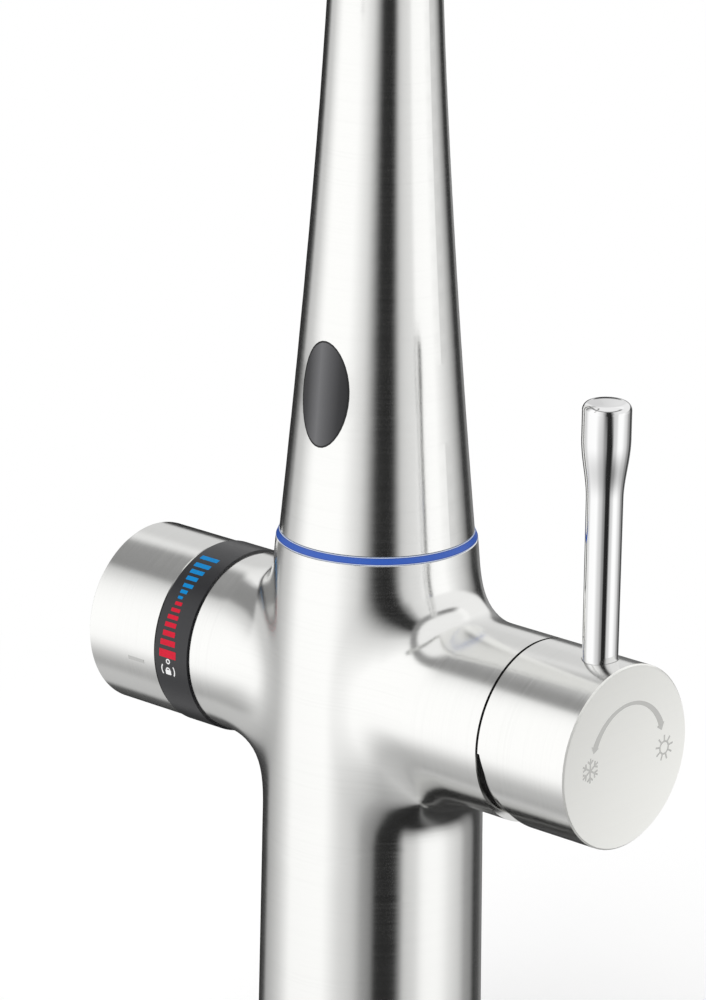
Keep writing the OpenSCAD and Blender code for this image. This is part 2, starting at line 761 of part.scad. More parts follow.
module spout_stop_screw() color([0.45, 0.45, 0.46]) {
  difference() {
    translate([0, 0, stop_at]) rotate([-90, 0, 0]) {
      rod(stop_tip_r, sleeve_r - groove_depth + free_gap, stop_shoulder_at + over);
      rod(stop_screw_r, stop_shoulder_at, stop_head_at);
    }
    translate([0, stop_head_at, stop_at]) rotate([90, 0, 0])
      translate([0, 0, -over]) cylinder(r = stop_screw_r / 2, h = over + stop_screw_r, $fn = 6);
  }
}

module spout_sleeve() color([0.78, 0.66, 0.38]) {
  tip_room = asin((stop_tip_r + free_gap) / (sleeve_r - groove_depth));
  difference() {
    union() {
      rod(sleeve_r, sleeve_bottom, sleeve_flange_at + over);
      rod(sleeve_flange_r, sleeve_flange_at, sleeve_flange_at + sleeve_flange_h);
    }
    for (z = ring_heights) {
      pipe(sleeve_r + over, ring_track_r - swivel_ring_r, z - swivel_ring_r - slide_gap,
        z + swivel_ring_r + slide_gap);
    }
    pipe(sleeve_r + over, sleeve_r - groove_depth, boil_groove_at, boil_groove_at + boil_groove_h);
    pipe(sleeve_r + over, sleeve_r - groove_depth, band_at, band_at + band_h);
    rotate([0, 0, 90 - spout_swing - tip_room])
      rotate_extrude(angle = 2 * (spout_swing + tip_room)) translate([sleeve_r - groove_depth, 0])
        translate([0, stop_at - stop_tip_r - free_gap])
          square([groove_depth + over, 2 * (stop_tip_r + free_gap)]);
    translate([mixed_tube_side, 0, 0]) {
      rod(mixed_tube_r - mixed_tube_wall, sleeve_bottom - over, sleeve_flange_at + sleeve_flange_h + over);
      rod(mixed_tube_r + seat_clear, sleeve_flange_at + sleeve_flange_h - tube_plug_h,
        sleeve_flange_at + sleeve_flange_h + over);
    }
    translate([-boil_tube_side, 0, 0]) {
      rod(boil_tube_r - boil_tube_wall, boil_groove_at + boil_groove_h / 2,
        sleeve_flange_at + sleeve_flange_h + over);
      rod(boil_tube_r + seat_clear, sleeve_flange_at + sleeve_flange_h - tube_plug_h,
        sleeve_flange_at + sleeve_flange_h + over);
    }
    translate([0, 0, boil_groove_at + boil_groove_h / 2]) rotate([0, -90, 0])
      rod(riser_r / 2, boil_tube_side - boil_tube_wall, sleeve_r);
  }
}

module spout_rings() color([0.08, 0.08, 0.08]) {
  for (z = ring_heights) {
    translate([0, 0, z]) rotate_extrude() translate([ring_track_r, 0]) circle(r = swivel_ring_r);
  }
}

module sleeve_band() color([0.90, 0.90, 0.86]) {
  pipe(sleeve_r + run_clear / 2, sleeve_r - groove_depth + slide_gap, band_at + slide_gap,
    band_at + band_h - slide_gap);
}

// Mixer cartridge
module cartridge_base() color([0.85, 0.85, 0.82]) on_mixer_arm() {
  difference() {
    rod(cartridge_r - seat_clear, base_at, base_at + cartridge_base_h);
    mixer_ports(channel_r - seat_ring_w / 2, base_at - over, base_at + cartridge_base_h + over);
    mixer_ports(channel_r + seat_ring_w, base_at - over, base_at + seat_ring_h);
  }
}

module cartridge_seals() color([0.10, 0.10, 0.10]) on_mixer_arm() {
  difference() {
    mixer_ports(channel_r + seat_ring_w - slide_gap, base_at - slide_gap, base_at + seat_ring_h - slide_gap);
    mixer_ports(channel_r, base_at - over, base_at + seat_ring_h);
  }
}

module mixer_disc_fixed() color([0.95, 0.95, 0.93]) on_mixer_arm() {
  difference() {
    rod(cavity_r - seat_clear, fixed_disc_at, fixed_disc_at + disc_h);
    mixer_ports(channel_r - seat_ring_w / 2, fixed_disc_at - over, fixed_disc_at + disc_h + over);
  }
}

module mixer_disc_sliding() color([0.95, 0.95, 0.93]) on_mixer_arm() {
  translate([slide_travel / 2, 0, 0]) difference() {
    rod(slide_disc_r, sliding_disc_at, sliding_disc_at + disc_h);
    rod(slide_disc_r / 2, sliding_disc_at - over, sliding_disc_at + disc_h / 2);
  }
}

module disc_carrier() color([0.25, 0.25, 0.27]) on_mixer_arm() {
  difference() {
    translate([slide_travel / 2, 0, 0]) rod(slide_disc_r, carrier_at, carrier_at + carrier_h);
    rod(pocket_r, carrier_at + carrier_web, carrier_at + carrier_h + over);
  }
}

module cartridge_housing() color([0.85, 0.85, 0.82]) on_mixer_arm() {
  difference() {
    union() {
      rod(cartridge_r, base_at + cartridge_base_h, shoulder_at + housing_cap_h);
      rod(housing_neck_r, shoulder_at, housing_end);
    }
    rod(cavity_r, base_at + cartridge_base_h - over, shoulder_at);
    rod(neck_bore_r, shoulder_at - over, housing_end + over);
  }
}

module ring_nut() color([0.78, 0.66, 0.38]) on_mixer_arm() {
  slots = 6;
  slot_w = collar_skirt_wall;
  difference() {
    pipe(mixer_bore_r - slide_gap, housing_neck_r + seat_clear, ring_nut_at, ring_nut_at + ring_nut_h);
    for (i = [0:slots / 2 - 1]) {
      rotate([0, 0, i * 360 / slots])
        translate([-arm_r, -slot_w / 2, ring_nut_at + ring_nut_h / 2])
          cube([2 * arm_r, slot_w, ring_nut_h]);
    }
  }
}

module dome_collar() color([0.72, 0.72, 0.72]) on_mixer_arm() {
  skirt_r = mixer_bore_r - slide_gap;
  difference() {
    union() {
      rod(skirt_r, collar_at, dome_at + over);
      intersection() {
        translate([0, 0, pivot_at]) sphere(r = dome_r);
        rod(arm_r, dome_at, dome_at + dome_length);
      }
    }
    rod(skirt_r - collar_skirt_wall, collar_at - over, dome_at + dome_length + over);
  }
}

module collar_seal() color([0.05, 0.05, 0.05]) on_mixer_arm() {
  pipe(arm_r - arm_wall + seat_ring_w, mixer_bore_r, arm_reach + slide_gap, dome_at - slide_gap);
}

// The slot that the stem needs when it tilts
module stem_slot(from, to) {
  side = stem_square / 2 + free_gap;
  up = (pivot_at - rotor_at) * tan(lever_tilt) + stem_ball_r + free_gap;
  down = rotor_overhang * tan(lever_tilt) + stem_square / 2 + 2 * free_gap;
  translate([-up, -side, from]) cube([up + down, 2 * side, to - from]);
}

module mixer_rotor() color([0.30, 0.32, 0.36]) on_mixer_arm() {
  difference() {
    union() {
      rod(cavity_r - free_gap, rotor_at, barrel_at);
      rod(rotor_r, barrel_at - over, rotor_end);
    }
    stem_slot(rotor_at - over, rotor_end + over);
    translate([0, 0, pivot_at]) rotate([90, 0, 0]) rod(stem_pin_r + slide_gap / 2, -arm_r, arm_r);
  }
}

module stem_pin() color([0.60, 0.60, 0.62]) on_mixer_arm() {
  length = rotor_r - seat_clear;
  translate([0, 0, pivot_at]) rotate([90, 0, 0]) rod(stem_pin_r, -length, length);
}

module lever_stem() color([0.78, 0.66, 0.38]) on_mixer_arm() {
  difference() {
    union() {
      translate([0, 0, ball_at]) sphere(r = stem_ball_r);
      rod(stem_shaft_r, ball_at, stem_neck_at + over);
      translate([-stem_square / 2, -stem_square / 2, stem_neck_at])
        cube([stem_square, stem_square, stem_end - stem_neck_at]);
    }
    translate([0, 0, pivot_at]) rotate([90, 0, 0]) rod(stem_pin_r + run_clear, -arm_r, arm_r);
  }
}

// Lever: the hub, its rod and its set screw
module lever_hub() color([0.82, 0.82, 0.81]) on_mixer_arm() {
  stem_hole = stem_square + 2 * seat_clear;
  relief_depth = arm_r + over;
  difference() {
    rotate_extrude() polygon([
      [0, hub_at], [arm_r, hub_at], [arm_r, hub_end - hub_bevel],
      [arm_r - hub_bevel, hub_end], [0, hub_end]
    ]);
    difference() {
      rod(hub_bore_r, hub_at - over, hub_floor_at);
      rod(boss_r, boss_at, hub_end);
    }
    rotate([90, 0, 0]) translate([0, 0, -relief_depth]) linear_extrude(2 * relief_depth)
      polygon([
        [0, hub_at - over], [0, hub_at + relief_step],
        [relief_depth, hub_at + relief_step + relief_depth * tan(relief_slope)],
        [relief_depth, hub_at - over]
      ]);
    translate([-stem_hole / 2, -stem_hole / 2, boss_at - over])
      cube([stem_hole, stem_hole, stem_end + seat_clear - boss_at + over]);
    translate([0, 0, rod_reach]) rotate([0, -90, 0]) {
      rod(rod_spigot_r + slide_gap, 0, arm_r);
      rod(rod_r + seat_clear, boss_r - slide_gap, arm_r + over);
    }
    translate([0, 0, rod_reach]) rotate([0, 90, 0]) {
      rod(set_screw_r + slide_gap, 0, arm_r);
      rod(access_r, boss_r + boss_clear, arm_r + over);
    }
  }
}

module lever_rod() color([0.88, 0.88, 0.88]) {
  grip_at = rod_top - grip_length;
  taper_at = grip_at - grip_taper;
  translate([rod_reach, 0, arm_height]) rotate_extrude() polygon(concat(
    [
      [0, stem_square / 2 + seat_clear], [rod_spigot_r, stem_square / 2 + seat_clear],
      [rod_spigot_r, boss_r + seat_clear], [rod_r, boss_r + seat_clear],
      [rod_r, arm_r]
    ],
    [for (i = [0:grip_steps])
      let (share = i / grip_steps, swell = (1 - cos(180 * share)) / 2)
      [rod_waist_r + (grip_r - rod_waist_r) * swell, taper_at + grip_taper * share]],
    [for (i = [0:grip_steps])
      let (turn = 90 * i / grip_steps)
      [grip_r - grip_round * (1 - cos(turn)), rod_top - grip_round + grip_round * sin(turn)]],
    [[(grip_r - grip_round) / 2, rod_top + grip_dome * 3 / 4], [0, rod_top + grip_dome]]
  ));
}

// A set screw with a hexagon socket, pointing from its tip at "from" to its head at "to"
module set_screw(from, to) {
  difference() {
    rod(set_screw_r, from, to);
    translate([0, 0, to - set_screw_r]) cylinder(r = set_screw_r / 2, h = set_screw_r + over, $fn = 6);
  }
}

module hub_set_screw() color([0.45, 0.45, 0.46]) on_mixer_arm() {
  translate([0, 0, rod_reach]) rotate([0, 90, 0])
    set_screw(stem_square / 2 + slide_gap, boss_r);
}

// Boiling valve
module scale_ring() color([0.20, 0.20, 0.21]) on_dial_arm() {
  pipe(scale_r, dial_spigot_r + slide_gap, dial_arm_reach + slide_gap, scale_end);
}

module dial_glide_ring() color([0.90, 0.90, 0.86]) on_dial_arm() {
  pipe(dial_spigot_r - seat_clear, valve_bore_r + seat_clear, glide_at, glide_at + glide_h);
}

module boil_valve_seals() color([0.10, 0.10, 0.10]) on_dial_arm() {
  difference() {
    valve_ports(boil_channel_r + seat_ring_w, valve_seal_at, valve_base_at - slide_gap);
    valve_ports(boil_channel_r, valve_seal_at - over, valve_base_at + over);
  }
}

module boil_valve_body() color([0.78, 0.66, 0.38]) on_dial_arm() {
  difference() {
    union() {
      rod(valve_r, valve_base_at, valve_shoulder_at);
      rod(valve_neck_r, valve_shoulder_at - over, valve_neck_end);
    }
    rod(chamber_r, valve_base_at + valve_base_h, gland_at);
    rod(gland_r, gland_at - over, valve_neck_end + over);
    valve_ports(boil_channel_r, valve_base_at - over, valve_base_at + valve_base_h + over);
  }
}

module boil_valve_nut() color([0.78, 0.66, 0.38]) on_dial_arm() {
  difference() {
    rod(valve_r, valve_nut_at, valve_neck_end);
    translate([0, 0, valve_nut_at - over])
      cylinder(r = valve_neck_r + seat_clear, h = valve_neck_length + 2 * over);
  }
}

module boil_disc_fixed() color([0.95, 0.95, 0.93]) on_dial_arm() {
  difference() {
    rod(valve_disc_r, valve_disc_at, valve_disc_at + valve_disc_h);
    valve_ports(boil_channel_r, valve_disc_at - over, valve_disc_at + valve_disc_h + over);
  }
}

module boil_disc_turning() color([0.95, 0.95, 0.93]) on_dial_arm() {
  slot_w = 2 * boil_channel_r;
  difference() {
    rod(valve_disc_r - seat_clear, turning_disc_at, turning_disc_at + valve_disc_h);
    translate([-slot_w / 2, -valve_port_r - boil_channel_r, turning_disc_at - over])
      cube([slot_w, 2 * (valve_port_r + boil_channel_r), over + valve_disc_h / 2]);
  }
}

spindle_ring_edge = 1;
spindle_ring_places = [
  gland_at + spindle_ring_edge + 2 * spindle_ring_r,
  valve_neck_end - spindle_ring_edge - 2 * spindle_ring_r
];
spindle_ring_track_r = spindle_r - spindle_ring_r + slide_gap;

module boil_spindle() color([0.78, 0.66, 0.38]) on_dial_arm() {
  difference() {
    union() {
      rod(valve_disc_r - seat_clear, spindle_at, spindle_at + spindle_flange_h);
      rod(spindle_r, spindle_at + spindle_flange_h - over, spline_at);
    }
    for (z = spindle_ring_places) {
      pipe(spindle_r + over, spindle_ring_track_r - spindle_ring_r,
        z - spindle_ring_r - slide_gap, z + spindle_ring_r + slide_gap);
    }
    pipe(spindle_r + over, spindle_r - clip_w / 2, clip_at - slide_gap, clip_at + clip_h + slide_gap);
  }
  translate([0, 0, spline_at]) linear_extrude(spline_end - spline_at)
    spline_outline(spline_r, spline_depth);
}

module spindle_rings() color([0.08, 0.08, 0.08]) on_dial_arm() {
  for (z = spindle_ring_places) {
    translate([0, 0, z]) rotate_extrude() translate([spindle_ring_track_r, 0]) circle(r = spindle_ring_r);
  }
}

module spindle_clip() color([0.50, 0.50, 0.52]) on_dial_arm() {
  difference() {
    pipe(spindle_r + clip_w, spindle_r - clip_w / 2 + slide_gap, clip_at, clip_at + clip_h);
    translate([0, -clip_w / 2, clip_at - over])
      cube([spindle_r + clip_w + over, clip_w, clip_h + 2 * over]);
  }
}

module dial_knob() color([0.82, 0.82, 0.81]) on_dial_arm() {
  ribs = 3;
  difference() {
    bevelled_rod(knob_r, knob_edge_at, knob_end, knob_bevel);
    difference() {
      rod(knob_r - knob_wall, knob_edge_at - over, knob_floor_at);
      rod(knob_boss_r, insert_at, knob_end);
    }
    rod(insert_r + slide_gap, insert_at - over, insert_at + insert_length + slide_gap);
    translate([0, 0, insert_at + insert_length / 2]) rotate([0, -90, 0]) {
      rod(set_screw_r + slide_gap, spline_r, knob_boss_r + over);
      rod(access_r, knob_boss_r + boss_clear, knob_r + over);
    }
  }
  pipe(dial_spigot_r - seat_clear, valve_bore_r + seat_clear, knob_at, knob_at + knob_wall);
  for (i = [0:ribs - 1]) {
    rotate([0, 0, i * 360 / ribs]) translate([knob_boss_r - over, -knob_wall / 2, knob_at])
      cube([knob_r - knob_wall - knob_boss_r + over + sink, knob_wall, knob_floor_at + sink - knob_at]);
  }
}

module knob_insert() color([0.90, 0.90, 0.86]) on_dial_arm() {
  difference() {
    rod(insert_r, insert_at, insert_at + insert_length);
    translate([0, 0, insert_at - over]) linear_extrude(insert_length + 2 * over)
      spline_outline(spline_r + seat_clear, spline_depth);
    translate([0, 0, insert_at + insert_length / 2]) rotate([0, -90, 0])
      rod(set_screw_r + slide_gap, spline_r + insert_web, insert_r + over);
  }
}

module knob_set_screw() color([0.45, 0.45, 0.46]) on_dial_arm() {
  translate([0, 0, insert_at + insert_length / 2]) rotate([0, -90, 0])
    set_screw(spline_r + insert_web + slide_gap, knob_boss_r);
}

// Spout
module neck_outside() {
  rotate_extrude() polygon(concat(
    [[0, neck_at]],
    [for (i = [0:neck_steps]) [neck_r(i / neck_steps), neck_at + neck_length * i / neck_steps]],
    [[0, neck_end]]
  ));
}

module neck_inside() {
  bore_top = sleeve_flange_at + sleeve_flange_h + seat_clear;
  rod(sleeve_flange_r + slide_gap, neck_at - over, bore_top);
  rotate_extrude() polygon(concat(
    [[0, bore_top - over]],
    [[neck_r_at(bore_top) - neck_wall, bore_top - over]],
    [for (i = [1:neck_steps])
      let (z = neck_at + neck_length * i / neck_steps)
      if (z > bore_top) [neck_r(i / neck_steps) - neck_wall, z]],
    [[tube_r - neck_wall, neck_end + over], [0, neck_end + over]]
  ));
}

// A bar with an oval section that runs from a depth y in the neck out past its front
module oval_bar(width, height, from) {
  translate([0, -from, sensor_at]) rotate([90, 0, 0]) linear_extrude(neck_base_r + over - from)
    polygon([for (i = [0:oval_steps - 1])
      [width / 2 * cos(i * 360 / oval_steps), height / 2 * sin(i * 360 / oval_steps)]]);
}

sensor_back = sensor_front - sensor_depth;
sensor_hole_w = sensor_w + 2 * sensor_seal_w;
sensor_hole_h = sensor_h + 2 * sensor_seal_w;
module_margin = 1;

module neck() color([0.80, 0.80, 0.79]) {
  difference() {
    neck_outside();
    neck_inside();
    oval_bar(sensor_hole_w, sensor_hole_h, 0);
  }
}

module sensor_window() color([0.18, 0.18, 0.19]) {
  intersection() {
    neck_outside();
    oval_bar(sensor_w, sensor_h, sensor_back);
  }
}

module sensor_seal() color([0.05, 0.05, 0.05]) {
  fit = 2 * slide_gap;
  difference() {
    intersection() {
      neck_outside();
      oval_bar(sensor_hole_w - fit, sensor_hole_h - fit, sensor_back);
    }
    oval_bar(sensor_w + fit, sensor_h + fit, sensor_back - over);
  }
}

module sensor_module() color([0.10, 0.12, 0.14]) {
  width = sensor_w - 2 * module_margin;
  height = sensor_h - 2 * module_margin;
  translate([-width / 2, -sensor_back + slide_gap, sensor_at - height / 2])
    cube([width, module_depth, height]);
}

// A tube along the gooseneck's centre line, off to one side, from a height in the neck to one above the outlet
module spout_tube(outer, inner, side, from, to) {
  translate([side, 0, 0]) {
    pipe(outer, inner, from, bend_at);
    translate([0, -bend_r, bend_at]) rotate([90, 0, 90]) rotate_extrude(angle = 180)
      translate([bend_r, 0]) difference() {
        circle(r = outer);
        circle(r = inner);
      }
    translate([0, -2 * bend_r, 0]) pipe(outer, inner, to, bend_at);
  }
}

module gooseneck() color([0.80, 0.80, 0.79]) {
  spout_tube(tube_r, outlet_bore_r, 0, neck_end, outlet_at);
}

module boil_tube() color([0.75, 0.75, 0.76]) {
  spout_tube(boil_tube_r, boil_tube_r - boil_tube_wall, -boil_tube_side,
    sleeve_flange_at + sleeve_flange_h - tube_plug_h + slide_gap, block_at + outlet_block_h - tube_plug_h);
}

module mixed_tube() color([0.90, 0.90, 0.92]) {
  spout_tube(mixed_tube_r, mixed_tube_r - mixed_tube_wall, mixed_tube_side,
    sleeve_flange_at + sleeve_flange_h - tube_plug_h + slide_gap, block_at + outlet_block_h - tube_plug_h);
}

// Outlet, drawn round its own axis
module on_outlet() {
  translate([0, -2 * bend_r, 0]) children();
}

module outlet_block() color([0.78, 0.66, 0.38]) on_outlet() {
  top = block_at + outlet_block_h;
  gallery_h = outlet_block_h / 3;
  difference() {
    rod(outlet_fit_r, block_at, top);
    translate([mixed_tube_side, 0, 0]) {
      rod(mixed_tube_r + seat_clear, top - tube_plug_h - slide_gap, top + over);
      rod(mixed_tube_r - mixed_tube_wall, block_at + gallery_h - over, top);
    }
    pipe(aerator_mouth_r, nozzle_r + nozzle_step, block_at - over, block_at + gallery_h);
    translate([-boil_tube_side, 0, 0]) {
      rod(boil_tube_r + seat_clear, top - tube_plug_h - slide_gap, top + over);
      rod(boil_tube_r - boil_tube_wall, top - 2 * tube_plug_h, top);
    }
    translate([0, 0, top - 2 * tube_plug_h]) rotate([0, -90, 0])
      rod(boil_tube_r - 2 * boil_tube_wall, 0, boil_tube_side);
    rod(nozzle_bore_r, block_at - over, top - 2 * tube_plug_h);
    rod(nozzle_r + slide_gap - nozzle_step, block_at - over, block_at + gallery_h / 2 + slide_gap);
  }
}

module boil_nozzle() color([0.75, 0.75, 0.76]) on_outlet() {
  difference() {
    union() {
      rod(nozzle_r, rim_at + nozzle_step / 2, block_at - slide_gap);
      rod(nozzle_r - nozzle_step, rim_at + nozzle_step, block_at + outlet_block_h / 6);
    }
    rod(nozzle_bore_r, rim_at - over, block_at + outlet_block_h);
  }
}

module aerator_washer() color([0.10, 0.10, 0.10]) on_outlet() {
  from = outlet_at + aerator_thread_h + slide_gap;
  pipe(outlet_fit_r, aerator_mouth_r, from, from + aerator_washer_h);
}

module aerator_housing() color([0.82, 0.82, 0.82]) on_outlet() {
  difference() {
    union() {
      bevelled_rod(tube_r, rim_at, outlet_at - slide_gap, hub_bevel);
      rod(outlet_fit_r, outlet_at - slide_gap - over, outlet_at + aerator_thread_h);
    }
    rod(aerator_bore_r, aerator_floor, outlet_at + aerator_thread_h + over);
    rod(aerator_mouth_r, rim_at - over, aerator_floor + over);
  }
}

module aerator_insert() color([0.35, 0.36, 0.38]) on_outlet() {
  hole_circle_r = (aerator_mouth_r + nozzle_r) / 2;
  difference() {
    pipe(aerator_bore_r - seat_clear, nozzle_r + seat_clear, aerator_floor + slide_gap,
      aerator_floor + aerator_h);
    for (i = [0:aerator_holes - 1]) {
      rotate([0, 0, i * 360 / aerator_holes]) translate([hole_circle_r, 0, 0])
        rod(aerator_hole_r, aerator_floor - over, aerator_floor + aerator_h + over);
    }
  }
}

body();
base_ring();
base_gasket();
mounting_shank();
clamp_gasket();
clamp_washer();
mounting_nut();
light_ring();
light_board();
swivel_bush();
spout_stop_screw();
cartridge_base();
cartridge_seals();
cartridge_housing();
mixer_disc_fixed();
ring_nut();
dome_collar();
collar_seal();
mixer_rotor();
stem_pin();
mixer_disc_sliding();
disc_carrier();
lever_stem();
lever_hub();
lever_rod();
hub_set_screw();
scale_ring();
dial_glide_ring();
boil_valve_seals();
boil_valve_body();
boil_valve_nut();
boil_disc_fixed();
boil_disc_turning();
boil_spindle();
spindle_rings();
spindle_clip();
dial_knob();
knob_insert();
knob_set_screw();
spout_sleeve();
spout_rings();
sleeve_band();
neck();
gooseneck();
boil_tube();
mixed_tube();
sensor_window();
sensor_seal();
sensor_module();
outlet_block();
boil_nozzle();
aerator_washer();
aerator_housing();
aerator_insert();
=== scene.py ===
import math

import bmesh
import bpy
from mathutils import Matrix, Vector


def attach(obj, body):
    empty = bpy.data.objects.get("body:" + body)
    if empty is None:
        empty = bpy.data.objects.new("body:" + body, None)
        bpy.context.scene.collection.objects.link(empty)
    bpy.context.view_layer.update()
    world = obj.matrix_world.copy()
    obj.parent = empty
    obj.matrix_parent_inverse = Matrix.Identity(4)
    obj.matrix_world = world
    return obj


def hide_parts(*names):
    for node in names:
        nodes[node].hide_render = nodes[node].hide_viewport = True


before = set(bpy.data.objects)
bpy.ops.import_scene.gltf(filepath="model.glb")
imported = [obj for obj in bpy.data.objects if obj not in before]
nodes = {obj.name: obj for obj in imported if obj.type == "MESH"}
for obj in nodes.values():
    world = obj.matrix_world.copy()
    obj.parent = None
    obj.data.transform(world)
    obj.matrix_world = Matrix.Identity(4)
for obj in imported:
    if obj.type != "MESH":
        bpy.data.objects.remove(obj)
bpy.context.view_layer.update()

MM = 0.001
ARM_HEIGHT = 0.115

# Camera: it looks at the tap's axis at the arms' height, moved a little to the side and up
CAMERA_TURN = math.radians(42.157)
CAMERA_RISE = math.radians(17.395)
CAMERA_ROLL = math.radians(0.812)
CAMERA_DISTANCE = 1.2415
CAMERA_SHIFT_X = -0.004916
CAMERA_SHIFT_Z = 0.040455
CAMERA_LENS, SENSOR_WIDTH = 197.6, 36


def towards(turn, rise):
    """The direction from the tap to a place that is turned from the front towards +X, and raised."""
    return Vector((math.sin(turn) * math.cos(rise), -math.cos(turn) * math.cos(rise), math.sin(rise)))


def camera_axes():
    """The directions from the tap back to the camera, to the picture's right and to its top."""
    back = towards(CAMERA_TURN, CAMERA_RISE)
    right = Vector((math.cos(CAMERA_TURN), math.sin(CAMERA_TURN), 0))
    up = back.cross(right)
    roll = CAMERA_ROLL
    return (back, math.cos(roll) * right + math.sin(roll) * up,
            math.cos(roll) * up - math.sin(roll) * right)


def add_camera():
    back, right, up = camera_axes()
    data = bpy.data.cameras.new("camera")
    data.lens = CAMERA_LENS
    data.sensor_width = SENSOR_WIDTH
    data.sensor_fit = "AUTO"
    data.clip_start, data.clip_end = 0.05, 100
    camera = bpy.data.objects.new("camera", data)
    place = Vector((0, 0, ARM_HEIGHT)) + back * CAMERA_DISTANCE + right * CAMERA_SHIFT_X + up * CAMERA_SHIFT_Z
    camera.matrix_world = Matrix.Translation(place) @ Matrix((right, up, back)).transposed().to_4x4()
    bpy.context.scene.collection.objects.link(camera)
    bpy.context.scene.camera = camera


class Value:
    """A number, colour or direction that a material works out at each point of a surface."""

    def __init__(self, tree, socket):
        self.tree = tree
        self.socket = socket

    def feed(self, socket):
        self.tree.links.new(self.socket, socket)

    def __add__(self, other):
        return maths(self.tree, "ADD", self, other)

    def __sub__(self, other):
        return maths(self.tree, "SUBTRACT", self, other)

    def __mul__(self, other):
        return maths(self.tree, "MULTIPLY", self, other)

    def __truediv__(self, other):
        return maths(self.tree, "DIVIDE", self, other)

    def __rsub__(self, other):
        return maths(self.tree, "SUBTRACT", other, self)

    def __rtruediv__(self, other):
        return maths(self.tree, "DIVIDE", other, self)

    __radd__ = __add__
    __rmul__ = __mul__


def connect(socket, item):
    """Gives a socket a value that is worked out, or a plain one."""
    if isinstance(item, Value):
        item.feed(socket)
    else:
        socket.default_value = item


def maths(tree, operation, *items):
    node = tree.nodes.new("ShaderNodeMath")
    node.operation = operation
    for socket, item in zip(node.inputs, items):
        connect(socket, item)
    return Value(tree, node.outputs[0])


class Shader:
    """A node tree, and one method that adds a node to it."""

    def __init__(self, tree):
        self.tree = tree
        tree.nodes.clear()

    def node(self, kind, settings=None, inputs=None):
        node = self.tree.nodes.new("ShaderNode" + kind)
        for name, setting in (settings or {}).items():
            if name == "stops":
                self.set_stops(node.color_ramp, setting)
            else:
                setattr(node, name, setting)
        for name, item in (inputs or {}).items():
            connect(node.inputs[name], item)
        return Value(self.tree, node.outputs[0])

    def set_stops(self, ramp, stops):
        while len(ramp.elements) < len(stops):
            ramp.elements.new(1)
        for element, (place, colour) in zip(ramp.elements, stops):
            element.position = place
            element.color = colour

    def maths(self, operation, *items):
        return maths(self.tree, operation, *items)

    def step(self, value, start, end):
        """0 before start and 1 after end, with a smooth rise between them."""
        return self.node("MapRange", {"interpolation_type": "SMOOTHSTEP"},
                         {"Value": value, "From Min": start, "From Max": end})

    def place(self):
        """Where a point lies on its piece, in metres."""
        node = self.tree.nodes.new("ShaderNodeTexCoord")
        return Value(self.tree, node.outputs["Object"])

    def parts_of(self, vector):
        node = self.tree.nodes.new("ShaderNodeSeparateXYZ")
        vector.feed(node.inputs[0])
        return [Value(self.tree, socket) for socket in node.outputs]

    def seen(self):
        """1 where the camera sees a thing, by itself or in metal or glass, and 0 where it only gives light."""
        rays = self.tree.nodes.new("ShaderNodeLightPath").outputs
        camera, glossy, clear = (Value(self.tree, rays[f"Is {kind} Ray"])
                                 for kind in ("Camera", "Glossy", "Transmission"))
        return self.maths("MAXIMUM", camera, self.maths("MAXIMUM", glossy, clear))

    def blend(self, share, first, second):
        """A colour between two others."""
        node = self.tree.nodes.new("ShaderNodeMix")
        node.data_type = "RGBA"
        connect(node.inputs[0], share)
        connect(node.inputs[6], first)
        connect(node.inputs[7], second)
        return Value(self.tree, node.outputs[2])

    def finish(self, surface, kind="OutputMaterial"):
        output = self.tree.nodes.new("ShaderNode" + kind)
        surface.feed(output.inputs["Surface"])


def material(name):
    made = bpy.data.materials.new(name)
    made.use_nodes = True
    return made, Shader(made.node_tree)


def colour(red, green, blue):
    """A colour from its 0 to 255 values on a screen, as light."""
    def light(level):
        level /= 255
        return level / 12.92 if level <= 0.04045 else ((level + 0.055) / 1.055) ** 2.4
    return (light(red), light(green), light(blue), 1)


# Studio, in metres: the floor's paper fades from the shadow's inner to its outer reach
TENT_RADIUS, PAPER_SIZE, PAPER_DROP = 9, 20, 0.0002
SHADOW_NEAR, SHADOW_FAR = 0.08, 0.38
# Each lamp's turn from the camera and rise in degrees, and its watts
LAMPS = (("key", -40, 50, 18), ("fill", 70, 40, 10))
LAMP_DISTANCE, LAMP_SIZE = 2.4, 1.6
# How strongly the white world lights the tap, and how bright the tent looks in the steel
SKY_LIGHT, TENT_LIGHT = 0.8, 1.18
# Where each zone of the tent passes into the next, in degrees of rise
LOW_WALLS_START, WALLS_START, CEILING_START, ZENITH_START, TOP_START = (
    (-42, -18), (-16, -10), (5, 11), (41, 46), (51, 58))


def add_piece(name, mesh_tool, finish=None):
    """A new object at the origin, with its mesh from a bmesh."""
    mesh = bpy.data.meshes.new(name)
    mesh_tool.to_mesh(mesh)
    mesh_tool.free()
    piece = bpy.data.objects.new(name, mesh)
    bpy.context.scene.collection.objects.link(piece)
    if finish:
        mesh.materials.append(finish)
    return piece


